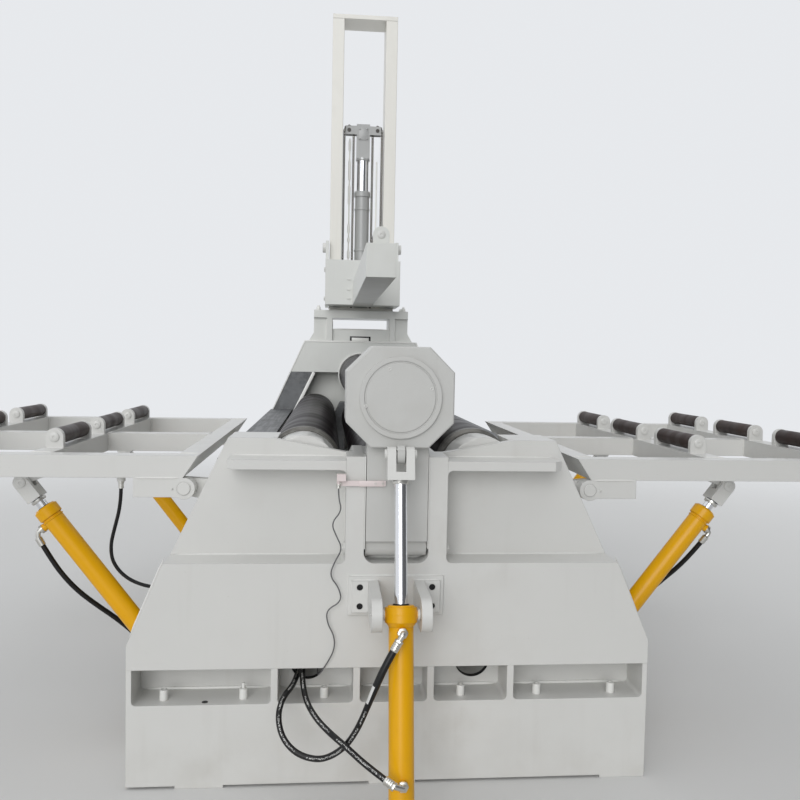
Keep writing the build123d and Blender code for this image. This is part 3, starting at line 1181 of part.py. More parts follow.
def mast_plunger():
    """Return the plunger with its head block, axle and the two sprockets."""
    low = MAST_BARREL_TOP - PLUNGER_INSIDE
    body = round_z(0, MAST_AXIS, PLUNGER_DIAMETER, low, PLUNGER_TOP)
    half = PLUNGER_HEAD_WIDTH / 2
    inner = SPROCKET_THICKNESS / 2 + YOKE_GAP
    outer = inner + YOKE_THICKNESS
    body += block((-half, half), (MAST_AXIS - outer, MAST_AXIS + outer),
                  (PLUNGER_TOP, PLUNGER_TOP + PLUNGER_HEAD_HEIGHT))
    reach = SPROCKET_OFFSET + SPROCKET_DIAMETER / 2
    height = (SPROCKET_HEIGHT - YOKE_HEIGHT / 2, SPROCKET_HEIGHT + YOKE_HEIGHT / 2)
    for limits in ((MAST_AXIS - outer, MAST_AXIS - inner), (MAST_AXIS + inner, MAST_AXIS + outer)):
        body += block((-reach, reach), limits, height)
    for side in (-1, 1):
        x = side * SPROCKET_OFFSET
        start = MAST_AXIS - SPROCKET_THICKNESS / 2
        body += round_y(x, SPROCKET_HEIGHT, SPROCKET_DIAMETER, start, start + SPROCKET_THICKNESS)
        body += round_y(x, SPROCKET_HEIGHT, AXLE_DIAMETER, MAST_AXIS - outer, MAST_AXIS + outer)
    return body


def strand_offset(lane):
    """Return X of a chain strand's middle, for the inner lane -1 or the outer lane 1."""
    return SPROCKET_OFFSET + lane * (SPROCKET_DIAMETER / 2 + CHAIN_WRAP_GAP + CHAIN_WIDTH / 2)


def chain_strand(side, lane, low):
    """Return one straight strand beside a sprocket, up to the height of its axle."""
    middle = strand_offset(lane)
    half = CHAIN_WIDTH / 2
    limits = sorted((side * (middle - half), side * (middle + half)))
    deep = CHAIN_DEPTH / 2
    return block(limits, (MAST_AXIS - deep, MAST_AXIS + deep), (low, SPROCKET_HEIGHT))


def mast_carriage():
    """Return the carriage: front box, cheeks, guide pads on the uprights and chain lugs."""
    back = CARRIAGE_BACK
    body = block((-CARRIAGE_HALF_WIDTH, CARRIAGE_HALF_WIDTH), (CARRIAGE_FRONT, back),
                 (CARRIAGE_BOTTOM, CARRIAGE_TOP))
    inner = CARRIAGE_HALF_WIDTH - CARRIAGE_CHEEK
    cheek = prism_x([(back, CARRIAGE_BOTTOM), (CHEEK_BACK, CARRIAGE_BOTTOM), (CHEEK_BACK, CARRIAGE_TOP),
                     (back + CHEEK_ROUND, CHEEK_TOP), (back - CHEEK_ROUND, CHEEK_TOP),
                     (back - CHEEK_ROUND, CARRIAGE_TOP), (back, CARRIAGE_TOP)],
                    inner, CARRIAGE_HALF_WIDTH)
    for height in (CARRIAGE_BOTTOM + GUIDE_PAD_HEIGHT, CARRIAGE_TOP - GUIDE_PAD_HEIGHT):
        start = (UPRIGHT_FRONT + CHEEK_BACK) / 2 - GUIDE_PAD_LENGTH / 2
        cheek += block((UPRIGHT_OUTER + GUIDE_GAP, inner), (start, start + GUIDE_PAD_LENGTH),
                       (height, height + GUIDE_PAD_HEIGHT))
    strand = strand_offset(1)
    lug = block((strand - CHAIN_LUG_HALF, strand + CHAIN_LUG_HALF),
                (back, MAST_AXIS + CHAIN_DEPTH / 2), (CARRIAGE_TOP - CHAIN_LUG_HEIGHT, CARRIAGE_TOP))
    side = cheek + lug
    return body + side + mirrored(side)


def support_arm():
    """Return the arm over the rolls, with its roller brackets."""
    arm = block((-ARM_HALF_WIDTH, ARM_HALF_WIDTH), (ARM_FRONT, CARRIAGE_FRONT),
                (ARM_BOTTOM, ARM_TOP))
    for place in range(ARM_ROLLER_COUNT):
        start = ARM_ROLLER_FIRST + place * ARM_ROLLER_PITCH
        far = start + ROLLER_BRACKET_THICKNESS + ARM_ROLLER_LENGTH + 2 * ROLLER_END_GAP
        for y in (start, far):
            arm += roller_bracket(0, y, ARM_TOP, ARM_ROLLER_AXIS_ABOVE, ARM_BRACKET_RADIUS)
    return arm


# Top roll drive
def top_roll_drive():
    """Return the planetary gear and motor behind the drive end frame."""
    stages = ((DRIVE_FLANGE_DIAMETER, DRIVE_FLANGE_LENGTH), (DRIVE_GEAR_DIAMETER, DRIVE_GEAR_LENGTH),
              (DRIVE_STAGE_DIAMETER, DRIVE_STAGE_LENGTH), (DRIVE_MOTOR_DIAMETER, DRIVE_MOTOR_LENGTH))
    start = OUTER_FACE
    body = None
    for diameter, length in stages:
        stage = round_y(0, TOP_ROLL_HEIGHT, diameter, start, start + length)
        body = stage if body is None else body + stage
        start += length
    return body


def main():
    """Write every node."""
    os.makedirs("parts", exist_ok=True)
    save("drop_end_base", [frame_base()])
    save("drop_end_face", [drop_end_face()])
    save("drop_end_upper_panel", [drop_end_upper_panel()])
    save("drop_end_roll_guides", roll_guides(TOP_HALF_WIDTH, TOP_HEIGHT))
    save("drive_end_base", [drive_end(frame_base())])
    save("drive_end_shoulders", [drive_end(frame_shoulders())])
    save("drive_end_upper_panel", [drive_end_upper_panel()])
    guides = roll_guides(drive_edge(WINDOW_TOP), WINDOW_TOP)
    save("drive_end_roll_guides", [drive_end(guide) for guide in guides])
    save("drive_end_head_beam", [drive_end_head_beam()])
    save("main_bearing_housing", [main_bearing_housing()])
    save("bed_beams", [bed_beams()])
    save("tie_girders", tie_girders())
    save("apron_plates", apron_plates())
    save("top_roll", [top_roll()])
    save("bottom_roll", [held_roll(0, BOTTOM_ROLL_HEIGHT, BOTTOM_ROLL_DIAMETER,
                                   BOTTOM_JOURNAL_DIAMETER)])
    side_roll = held_roll(*SIDE_AXIS, SIDE_ROLL_DIAMETER, SIDE_JOURNAL_DIAMETER)
    save("right_roll", [side_roll])
    save("left_roll", [mirrored(side_roll)])
    housings = [side_housing(), drive_end(side_housing())]
    save("right_roll_housings", housings)
    save("left_roll_housings", [mirrored(housing) for housing in housings])
    save("bottom_roll_housings", [bottom_housing(), drive_end(bottom_housing())])
    save("drop_head", [drop_head()])
    save("head_cover", [head_cover()])
    save("limit_switch_arm", [limit_switch_arm()])
    save("hinge_shaft", [hinge_shaft()])
    save("drop_cylinder_barrel", [drop_cylinder_barrel()])
    save("drop_cylinder_rod", [drop_cylinder_rod()])
    save("trunnion_bracket", [trunnion_bracket()])
    save("drop_hose_fittings", drop_hose_fittings())
    for name, cord in hose_cords().items():
        save(name, [cord])
    rails = table_rails()
    brackets = table_brackets()
    cross = table_cross_beams()
    barrels = [table_barrel(y) for y in TABLE_CYLINDER_PLACES]
    rods = [table_rod(y) for y in TABLE_CYLINDER_PLACES]
    rows = [roller_row(x, TABLE_ROLLER_HEIGHT, ROLLER_FIRST, ROLLER_COUNT, ROLLER_PITCH,
                       ROLLER_DIAMETER, ROLLER_LENGTH) for x in ROW_OFFSETS]
    right = {"table_rails": rails, "table_brackets": brackets, "table_cross_beams": cross,
             "inner_rollers": rows[0], "outer_rollers": rows[1], "table_barrels": barrels,
             "table_rods": rods}
    left_hose = [(-x, y, z) for x, y, z in LEFT_NEAR_HOSE]
    extras = {"right_table_barrels": [table_elbow(RIGHT_NEAR_HOSE, RIGHT_CRIMP_END)],
              "left_table_barrels": [mirrored(table_elbow(left_hose, LEFT_CRIMP_END))],
              "left_table_cross_beams": [beam_port()]}
    for name, shapes in right.items():
        twins = [mirrored(shape) for shape in shapes]
        save(f"right_{name}", shapes + extras.get(f"right_{name}", []))
        save(f"left_{name}", twins + extras.get(f"left_{name}", []))
    save("table_hinge_lugs", both_sides(table_hinge_lugs()))
    feet = [foot_lugs(y) for y in TABLE_CYLINDER_PLACES]
    save("cylinder_foot_lugs", both_sides(feet))
    save("mast_platform", [mast_platform()])
    save("mast_portal", [mast_portal()])
    save("mast_cylinder", [mast_cylinder()])
    save("mast_plunger", [mast_plunger()])
    save("anchor_chains", [chain_strand(side, -1, MAST_FOOT_TOP) for side in (-1, 1)])
    save("carriage_chains", [chain_strand(side, 1, CARRIAGE_TOP) for side in (-1, 1)])
    save("mast_carriage", [mast_carriage()])
    save("support_arm", [support_arm()])
    save("arm_rollers", roller_row(0, ARM_ROLLER_HEIGHT, ARM_ROLLER_FIRST, ARM_ROLLER_COUNT,
                                   ARM_ROLLER_PITCH, ARM_ROLLER_DIAMETER, ARM_ROLLER_LENGTH))
    save("top_roll_drive", [top_roll_drive()])


main()
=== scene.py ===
"""Looks of the four-roll plate bending machine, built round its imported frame."""

import logging
import math
import random
from collections.abc import Iterable, Sequence
from dataclasses import dataclass, field
from enum import Enum

import bmesh
import bpy
from mathutils import Matrix, Vector


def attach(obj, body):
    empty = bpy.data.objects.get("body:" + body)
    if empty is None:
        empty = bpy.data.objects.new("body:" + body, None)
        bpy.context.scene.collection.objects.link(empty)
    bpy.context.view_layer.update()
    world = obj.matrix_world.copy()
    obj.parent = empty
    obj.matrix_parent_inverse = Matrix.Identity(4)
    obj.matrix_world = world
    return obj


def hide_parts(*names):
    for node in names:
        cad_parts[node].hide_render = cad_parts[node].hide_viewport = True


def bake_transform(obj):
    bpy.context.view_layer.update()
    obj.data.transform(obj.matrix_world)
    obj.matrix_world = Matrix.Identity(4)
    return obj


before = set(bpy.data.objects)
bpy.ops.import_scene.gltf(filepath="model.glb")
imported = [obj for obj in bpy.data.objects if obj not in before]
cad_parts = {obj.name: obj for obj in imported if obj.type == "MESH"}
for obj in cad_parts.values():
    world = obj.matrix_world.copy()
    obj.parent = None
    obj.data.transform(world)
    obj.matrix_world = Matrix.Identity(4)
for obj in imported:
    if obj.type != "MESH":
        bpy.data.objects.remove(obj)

LOG = logging.getLogger("plate_bending_machine")
Pair = tuple[float, float]
Pairs = tuple[Pair, ...]
Point = tuple[float, float, float]
Colour = tuple[float, float, float]
Profile = Sequence[Pair]
Shape = bmesh.types.BMesh
Mesh = bpy.types.Mesh
Piece = bpy.types.Object
Tree = bpy.types.NodeTree
Socket = bpy.types.NodeSocket
UP: Point = (0.0, 0.0, 1.0)
TO_VIEWER: Point = (0.0, -1.0, 0.0)
TO_DRIVE: Point = (0.0, 1.0, 0.0)
TO_RIGHT: Point = (1.0, 0.0, 0.0)
SIDES = (("left", -1), ("right", 1))
ROUND_ANGLE = math.radians(38)
SAME_PLACE = 1e-6

# Places of the near frame and the drop head, in metres
FRONT = -2.03
PANEL_FACE = -1.88
BAY_BACK = -1.872
BAY_FLOOR = 0.32
LEDGE = 0.856
POST = 0.193
SHAFT: Pair = (-1.98, 0.905)
COVER_FACE = -2.112
STEM_FACE = -2.035
DROP_PIN: Point = (0.0, -2.14, 1.285)
DROP_AXIS: Point = (0.0, 0.23, 0.973)
CLEVIS_LINE: Point = (0.0, -2.1621, 1.1916)
TRUNNION: Point = (0.0, -2.27, 0.735)

# Places of the rolls and the drive end
TOP_ROLL_HEIGHT = 1.49
SIDE_ROLL: Pair = (0.365, 1.175)
HOUSING_FACE = 1.635
INNER_FACE = 1.63

# Places of the side tables and their cylinders
TABLE_TOP = 1.225
TABLE_BOTTOM = 1.135
TABLE_NEAR = -1.75
TABLE_FAR = 0.29
ROLLER_AXIS = 1.271
TABLE_ROWS: Pair = (1.425, 2.05)
TABLE_BEAM = 0.09
TABLE_PIN: Pair = (1.54, 1.085)
TABLE_FOOT: Pair = (0.905, 0.255)
TABLE_REACH = math.dist(TABLE_PIN, TABLE_FOOT)
TABLE_HINGE: Pair = (0.84, 1.092)
CYLINDER_PLANES: Pair = (-1.53, 0.05)

# Places of the platform and the mast
PLATFORM_TOP = 2.018
MAST_AXIS = 1.8375
MAST_TOP = 4.42
SPROCKET_HEIGHT = 3.52
SPROCKET_OFFSET = 0.118
PLUNGER_HEAD_FOOT = 3.29


class Slot(Enum):
    """The record's material slots."""

    PAINT = "machine_paint"
    AMBER = "cylinder_paint"
    CHROME = "chromed_rod"
    ROLL = "roll_steel"
    STEEL = "bare_steel"
    CHAIN = "dark_chain_steel"
    MAST = "mast_cylinder_paint"
    RUBBER = "hose_rubber"
    FITTING = "plated_fitting"


class Body(Enum):
    """The bodies that new pieces ride on."""

    FRAME = "machine_frame"
    HEAD = "drop_head"
    BARREL = "drop_barrel"
    ROD = "drop_rod"
    PLUNGER = "plunger"
    CARRIAGE = "carriage"


@dataclass
class Graph:
    """Adds and links the nodes of one material or group."""

    tree: Tree

    def add(self, kind: str, inputs: dict | None = None, **settings: object) -> bpy.types.Node:
        """Add one node.

        Args:
            kind: the node's type, without ShaderNode.
            inputs: values or sockets by input name or number.
            settings: the node's properties.

        Returns:
            The new node.
        """
        node = self.tree.nodes.new("ShaderNode" + kind)
        for name, value in settings.items():
            setattr(node, name, value)
        for key, value in (inputs or {}).items():
            if isinstance(value, Socket):
                self.tree.links.new(value, node.inputs[key])
            else:
                node.inputs[key].default_value = value
        return node

    def calc(self, operation: str, *values: object, clamp: bool = False) -> Socket:
        """Return the result of a Math node."""
        node = self.add("Math", dict(enumerate(values)), operation=operation, use_clamp=clamp)
        return node.outputs[0]

    def times(self, one: object, two: object, clamp: bool = False) -> Socket:
        """Return the product of two values."""
        return self.calc("MULTIPLY", one, two, clamp=clamp)

    def plus(self, one: object, two: object) -> Socket:
        """Return the sum of two values."""
        return self.calc("ADD", one, two)

    def vector(self, operation: str, *values: object) -> bpy.types.Node:
        """Return a Vector Math node."""
        return self.add("VectorMath", dict(enumerate(values)), operation=operation)

    def mix(self, share: object, low: object, high: object) -> Socket:
        """Return a mix of two colours."""
        return self.add("Mix", {0: share, 6: low, 7: high}, data_type="RGBA").outputs[2]

    def blend(self, share: object, low: object, high: object) -> Socket:
        """Return a mix of two values."""
        return self.add("Mix", {0: share, 2: low, 3: high}, data_type="FLOAT").outputs[0]

    def step(self, value: object, low: float, high: float) -> Socket:
        """Return a smooth rise from 0 at low to 1 at high."""
        node = self.add("MapRange", {"Value": value, "From Min": low, "From Max": high},
                        interpolation_type="SMOOTHSTEP")
        return node.outputs[0]

    def noise(self, place: object, scale: object, detail: float = 4.0) -> Socket:
        """Return a noise value at a place."""
        node = self.add("TexNoise", {"Vector": place, "Scale": scale, "Detail": detail})
        return node.outputs["Fac"]

    def stretched(self, place: object, scale: Point) -> Socket:
        """Return a place scaled by axis."""
        return self.add("Mapping", {"Vector": place, "Scale": scale}).outputs[0]


def rgba(colour: Colour) -> tuple[float, float, float, float]:
    """Return a colour with full alpha."""
    return (*colour, 1.0)


@dataclass
class Effects:
    """The node groups that several finishes share, each built once.

    A noise is given by its scale and detail, a band by where it starts and where it is full.
    """

    edge_band: Pair = (0.02, 0.2)
    clouds: Pair = (1.6, 5.0)
    smears: Pair = (7.0, 6.0)
    cloud_band: Pair = (0.42, 0.68)
    smear_band: Pair = (0.4, 0.72)
    run_stretch: Point = (16.0, 16.0, 1.1)
    run_band: Pair = (0.56, 0.8)
    run_share: float = 0.45
    specks: Pair = (95.0, 2.0)
    speck_band: Pair = (0.71, 0.78)
    floor_splash: Pair = (0.0, 0.4)
    splash_band: Pair = (0.2, 0.8)
    shade_range: Pair = (0.955, 0.09)
    fine_peel: Pair = (420.0, 2.0)
    coarse_peel: Pair = (38.0, 3.0)
    coarse_share: float = 1.5
    line_band: Pair = (0.3, 0.7)
    stain_noises: tuple[Pair, Pair] = ((5.0, 6.0), (31.0, 3.0))
    stain_band: Pair = (0.18, 0.36)

    def __post_init__(self) -> None:
        """Build the groups."""
        self.wear = self._edge_wear()
        self.weather = self._weathering()
        self.lines = self._machining_lines()
        self.beyond = self._beyond_plane()

    @staticmethod
    def _start(name: str, inputs: dict[str, str], outputs: dict[str, str]) -> tuple:
        """Make an empty group.

        Args:
            name: the group's name.
            inputs: socket kinds by input name.
            outputs: socket kinds by output name.

        Returns:
            The group, its graph, its input node and its output node.
        """
        tree = bpy.data.node_groups.new(name, "ShaderNodeTree")
        for direction, sockets in (("INPUT", inputs), ("OUTPUT", outputs)):
            for label, kind in sockets.items():
                tree.interface.new_socket(label, in_out=direction,
                                          socket_type="NodeSocket" + kind)
        return (tree, Graph(tree), tree.nodes.new("NodeGroupInput"),
                tree.nodes.new("NodeGroupOutput"))

    def _edge_wear(self) -> Tree:
        """Return the group that finds and softens edges."""
        tree, graph, given, result = self._start(
            "softened_edges", {"Radius": "Float"}, {"Mask": "Float", "Normal": "Vector"})
        soft = graph.add("Bevel", {"Radius": given.outputs["Radius"]}, samples=4)
        plain = graph.add("NewGeometry")
        match = graph.vector("DOT_PRODUCT", soft.outputs[0], plain.outputs["Normal"])
        turn = graph.calc("SUBTRACT", 1.0, match.outputs["Value"])
        tree.links.new(graph.step(turn, *self.edge_band), result.inputs["Mask"])
        tree.links.new(soft.outputs[0], result.inputs["Normal"])
        return tree

    def _dirt_mask(self, graph: Graph, place: Socket, clouds: Socket, dirt: Socket) -> Socket:
        """Return where dirt lies: patches, runs, a splashed foot and specks.

        Args:
            graph: the group's graph.
            place: the place on the object.
            clouds: the broad noise.
            dirt: how dirty the finish is.

        Returns:
            The mask.
        """
        smears = graph.noise(place, *self.smears)
        runs = graph.noise(graph.stretched(place, self.run_stretch), 1.0, 3.0)
        specks = graph.step(graph.noise(place, *self.specks), *self.speck_band)
        rise = graph.add("SeparateXYZ", {0: place}).outputs["Z"]
        low = graph.calc("SUBTRACT", 1.0, graph.step(rise, *self.floor_splash))
        patches = graph.times(graph.step(clouds, *self.cloud_band),
                              graph.step(smears, *self.smear_band))
        streaks = graph.times(graph.step(runs, *self.run_band), self.run_share)
        soiled = graph.plus(graph.plus(patches, streaks),
                            graph.times(low, graph.step(smears, *self.splash_band)))
        mask = graph.times(soiled, dirt, clamp=True)
        return graph.calc("MAXIMUM", mask, graph.times(specks, dirt), clamp=True)

    def _weathering(self) -> Tree:
        """Return the group that lays clouds, runs, specks and floor dust over a colour."""
        tree, graph, given, result = self._start(
            "workshop_dirt", {"Tint": "Color", "Soil": "Color", "Dirt": "Float"},
            {"Color": "Color", "Mask": "Float", "Height": "Float"})
        place = graph.add("TexCoord").outputs["Object"]
        clouds = graph.noise(place, *self.clouds)
        mask = self._dirt_mask(graph, place, clouds, given.outputs["Dirt"])
        darkest, reach = self.shade_range
        shade = graph.plus(graph.times(clouds, reach), darkest)
        tint = graph.add("VectorMath", {0: given.outputs["Tint"], "Scale": shade},
                         operation="SCALE")
        colour = graph.mix(mask, tint.outputs[0], given.outputs["Soil"])
        coarse = graph.times(graph.noise(place, *self.coarse_peel), self.coarse_share)
        peel = graph.plus(graph.noise(place, *self.fine_peel), coarse)
        for label, value in (("Color", colour), ("Mask", mask), ("Height", peel)):
            tree.links.new(value, result.inputs[label])
        return tree

    def _machining_lines(self) -> Tree:
        """Return the group of fine lines that turning or rolling leaves."""
        tree, graph, given, result = self._start(
            "machining_lines", {"Scale": "Vector"}, {"Lines": "Float", "Stains": "Float"})
        place = graph.add("TexCoord").outputs["Object"]
        scaled = graph.vector("MULTIPLY", place, given.outputs["Scale"]).outputs[0]
        fine = graph.noise(scaled, 1.0, 6.0)
        broad, small = self.stain_noises
        stains = graph.times(graph.noise(place, *broad), graph.noise(place, *small))
        tree.links.new(graph.step(fine, *self.line_band), result.inputs["Lines"])
        tree.links.new(graph.step(stains, *self.stain_band), result.inputs["Stains"])
        return tree

    def _beyond_plane(self) -> Tree:
        """Return the group that is 1 past a plane and 0 before it."""
        tree, graph, given, result = self._start(
            "beyond_plane", {"Place": "Vector", "Point": "Vector", "Way": "Vector"},
            {"Mask": "Float"})
        offset = graph.vector("SUBTRACT", given.outputs["Place"], given.outputs["Point"])
        reach = graph.vector("DOT_PRODUCT", offset.outputs[0], given.outputs["Way"])
        tree.links.new(graph.calc("GREATER_THAN", reach.outputs["Value"], 0.0),
                       result.inputs["Mask"])
        return tree


@dataclass(frozen=True)
class Coat:
    """One surface layer: its colour, dirt, gloss and fine relief."""

    tint: Colour
    roughness: float
    soil: Colour = (0.3, 0.27, 0.23)
    dirt: float = 0.25
    metallic: float = 0.0
    worn: Colour = (0.9, 0.9, 0.88)
    wear: float = 0.0
    relief: float = 0.04
    lines: Point | None = None
    dirt_dulls: float = 0.25
    line_dulls: float = 0.16
    line_relief: float = 0.3
    stain_share: float = 0.6
    stain_shade: float = 0.55


@dataclass(frozen=True)
class Zone:
    """The part of a node, past a plane, that has another coat."""

    point: Point
    way: Point
    both_sides: bool = False


@dataclass(frozen=True)
class Finish:
    """A material of one coat, or of two with a border between them."""

    name: str
    slot: Slot
    coat: Coat
    clear: float = 0.0
    edge: float = 0.003
    other: Coat | None = None
    zone: Zone | None = None
    gloss: float = 0.5
    clear_roughness: float = 0.12
    bump_strength: float = 0.35
    bump_depth: float = 0.001

    def _layer(self, graph: Graph, effects: Effects, coat: Coat, edges: bpy.types.Node) -> list:
        """Lay out one coat.

        Args:
            graph: the material's graph.
            effects: the shared groups.
            coat: the coat.
            edges: the node of the softened edges.

        Returns:
            Colour, roughness, metallic and height; an even metallic is a plain number.
        """
        values = {"Tint": rgba(coat.tint), "Soil": rgba(coat.soil), "Dirt": coat.dirt}
        colour, mask, height = graph.add("Group", values, node_tree=effects.weather).outputs
        height = graph.times(height, coat.relief)
        rough = graph.plus(graph.times(mask, coat.dirt_dulls), coat.roughness)
        if coat.lines:
            lines, stains = graph.add("Group", {"Scale": coat.lines},
                                      node_tree=effects.lines).outputs
            shade = rgba(tuple(value * coat.stain_shade for value in coat.tint))
            colour = graph.mix(graph.times(stains, coat.stain_share), colour, shade)
            rough = graph.plus(rough, graph.times(lines, coat.line_dulls))
            height = graph.plus(height, graph.times(lines, coat.line_relief))
        if coat.wear:
            share = graph.times(edges.outputs["Mask"], coat.wear)
            colour = graph.mix(share, colour, rgba(coat.worn))
        return [colour, rough, coat.metallic, height]

    def _zoned(self, graph: Graph, effects: Effects, edges: bpy.types.Node, layer: list) -> list:
        """Lay the other coat past the border.

        Args:
            graph: the material's graph.
            effects: the shared groups.
            edges: the node of the softened edges.
            layer: the first coat's values.

        Returns:
            The values of both coats together.
        """
        place = graph.add("TexCoord").outputs["Object"]
        if self.zone.both_sides:
            place = graph.vector("ABSOLUTE", place).outputs[0]
        border = {"Place": place, "Point": self.zone.point, "Way": self.zone.way}
        mask = graph.add("Group", border, node_tree=effects.beyond).outputs[0]
        second = self._layer(graph, effects, self.other, edges)
        colour = graph.mix(mask, layer[0], second[0])
        return [colour] + [pair[0] if pair[0] == pair[1] else graph.blend(mask, *pair)
                           for pair in zip(layer[1:], second[1:])]

    def build(self, effects: Effects) -> bpy.types.Material:
        """Return the material, built from the shared groups.

        Args:
            effects: the shared groups.

        Returns:
            The material.
        """
        material = bpy.data.materials.new(self.name)
        material.use_nodes = True
        material.node_tree.nodes.clear()
        graph = Graph(material.node_tree)
        edges = graph.add("Group", {"Radius": self.edge}, node_tree=effects.wear)
        layer = self._layer(graph, effects, self.coat, edges)
        if self.other and self.zone:
            layer = self._zoned(graph, effects, edges, layer)
        colour, rough, metal, height = layer
        bump = graph.add("Bump", {"Strength": self.bump_strength, "Distance": self.bump_depth,
                                  "Height": height, "Normal": edges.outputs["Normal"]})
        shader = graph.add("BsdfPrincipled", {
            "Base Color": colour, "Roughness": rough, "Metallic": metal,
            "Normal": bump.outputs[0], "Coat Weight": self.clear,
            "Coat Roughness": self.clear_roughness, "Specular IOR Level": self.gloss})
        graph.add("OutputMaterial", {0: shader.outputs[0]})
        return material


WHITE = Coat(tint=(0.65, 0.648, 0.625), roughness=0.36, soil=(0.4, 0.375, 0.33), dirt=0.16,
             relief=0.05)
CHROME_COAT = Coat(tint=(0.83, 0.84, 0.86), roughness=0.08, soil=(0.4, 0.38, 0.34), dirt=0.08,
                   metallic=1.0, relief=0.005)
SILVER = Coat(tint=(0.68, 0.67, 0.63), roughness=0.3, soil=(0.2, 0.18, 0.15), dirt=0.3,
              metallic=1.0, relief=0.02)
AMBER = Coat(tint=(0.78, 0.39, 0.001), roughness=0.3, soil=(0.36, 0.2, 0.01), dirt=0.16,
             relief=0.025)
GREY_COAT = Coat(tint=(0.4, 0.405, 0.4), roughness=0.32, soil=(0.2, 0.185, 0.16), dirt=0.22,
                 relief=0.03)
ROLL_FACE = Coat(tint=(0.02, 0.016, 0.018), roughness=0.3, soil=(0.05, 0.042, 0.036), dirt=0.3,
                 metallic=0.12, worn=(0.3, 0.28, 0.26), wear=0.4, relief=0.025,
                 lines=(2.0, 9.0, 2.0))
ROLL_END = Coat(tint=(0.2, 0.195, 0.18), roughness=0.34, soil=(0.1, 0.085, 0.07), dirt=0.35,
                metallic=0.6, worn=(0.4, 0.39, 0.36), wear=0.4, relief=0.025,
                lines=(2.0, 60.0, 2.0))


@dataclass(frozen=True)
class Paint(Finish):
    """Warm off-white machine paint."""

    name: str = "off_white_paint"
    slot: Slot = Slot.PAINT
    coat: Coat = WHITE
    clear: float = 0.12
    edge: float = 0.004


PAINT = Paint()
NUT_PAINT = Paint("painted_hardware", edge=0.0015)
WELD_PAINT = Paint("painted_weld", edge=0.001, coat=Coat(
    tint=(0.72, 0.715, 0.69), roughness=0.28, soil=(0.45, 0.42, 0.37), dirt=0.2, relief=0.1))
# A brighter copy of the white paint: pale painted parts, painted highlight on the bay seams and on
# the drive end's edge strips, and painted light on the plates in the head's slot.
PALE_PAINT_AND_HIGHLIGHT = Paint("pale_paint_and_painted_highlight", coat=Coat(
    tint=(0.8, 0.8, 0.77), roughness=0.3, soil=(0.5, 0.47, 0.42), dirt=0.1, relief=0.05))
FAR_PAINT = Paint("drive_end_paint", coat=Coat(
    tint=(0.68, 0.69, 0.66), roughness=0.34, soil=(0.45, 0.43, 0.38), dirt=0.16, relief=0.05))
MAST_PAINT = Paint("mast_paint", coat=Coat(
    tint=(0.78, 0.765, 0.71), roughness=0.32, soil=(0.5, 0.47, 0.42), dirt=0.14, relief=0.05))
HEAD_PAINT = Paint("drop_head_paint", coat=Coat(
    tint=(0.55, 0.55, 0.53), roughness=0.36, soil=(0.37, 0.35, 0.31), dirt=0.16, relief=0.05))
AMBER_PAINT = Finish("amber_paint", Slot.AMBER, AMBER, clear=0.05, edge=0.002, gloss=0.3)
DROP_AMBER = Finish("amber_barrel_with_white_pins", Slot.AMBER, AMBER, clear=0.05, edge=0.002,
                    other=WHITE, zone=Zone((0.0575, 0.0, 0.0), TO_RIGHT, both_sides=True),
                    gloss=0.3)
ROD_FINISH = Finish("chromed_rod_with_white_clevis", Slot.CHROME, CHROME_COAT, other=WHITE,
                    zone=Zone(CLEVIS_LINE, DROP_AXIS))
PLUNGER_FINISH = Finish("chromed_plunger_with_grey_head", Slot.CHROME, CHROME_COAT, edge=0.002,
                        other=GREY_COAT, zone=Zone((0.0, 0.0, PLUNGER_HEAD_FOOT), UP))
PLATED = Finish("zinc_plated_fitting", Slot.FITTING, SILVER, edge=0.001)
BRASS = Finish("brass_ring", Slot.FITTING, edge=0.001, coat=Coat(
    tint=(0.75, 0.52, 0.2), roughness=0.28, soil=(0.2, 0.15, 0.08), dirt=0.3, metallic=1.0))
SWITCH = Finish("pale_pink_switch", Slot.FITTING, edge=0.0015, coat=Coat(
    tint=(0.74, 0.65, 0.64), roughness=0.4, soil=(0.4, 0.33, 0.3), dirt=0.15))
ROLL = Finish("dark_roll_steel", Slot.ROLL, ROLL_FACE, other=ROLL_END,
              zone=Zone((0.0, 1.54, 0.0), TO_DRIVE, both_sides=True), gloss=0.06)
ROLLER = Finish("dark_roller_steel", Slot.ROLL, gloss=0.2, coat=Coat(
    tint=(0.036, 0.02, 0.017), roughness=0.33, soil=(0.08, 0.05, 0.036), dirt=0.45,
    metallic=0.1, worn=(0.3, 0.26, 0.24), wear=0.5, relief=0.025, lines=(5.0, 14.0, 5.0)))
# Dark bare grey steel of the aprons and the hinge shaft; on the drive end's roll guides it is
# painted shade, with oil, in the dark gap behind the rolls.
BARE_STEEL_AND_SHADE = Finish("bare_grey_plate_and_painted_shade", Slot.STEEL, gloss=0.3, coat=Coat(
    tint=(0.15, 0.155, 0.16), roughness=0.4, soil=(0.1, 0.085, 0.07), dirt=0.4, metallic=0.4,
    worn=(0.5, 0.5, 0.5), wear=0.4, relief=0.03, lines=(40.0, 2.0, 40.0)))
CHAIN = Finish("oiled_chain_steel", Slot.CHAIN, edge=0.0006, coat=Coat(
    tint=(0.045, 0.042, 0.04), roughness=0.33, soil=(0.12, 0.09, 0.06), dirt=0.4, metallic=0.8,
    worn=(0.35, 0.34, 0.32), wear=0.5))
# Blackened steel for screws, wipers and rims; on the bay floor it is the painted shade of an open
# hole.
BLACK_STEEL_AND_SHADE = Finish("blackened_steel_and_painted_shade", Slot.CHAIN, edge=0.001, coat=Coat(
    tint=(0.018, 0.018, 0.019), roughness=0.4, soil=(0.08, 0.07, 0.06), dirt=0.3, metallic=0.5))
GREY = Finish("light_grey_cylinder_paint", Slot.MAST, GREY_COAT, clear=0.2)


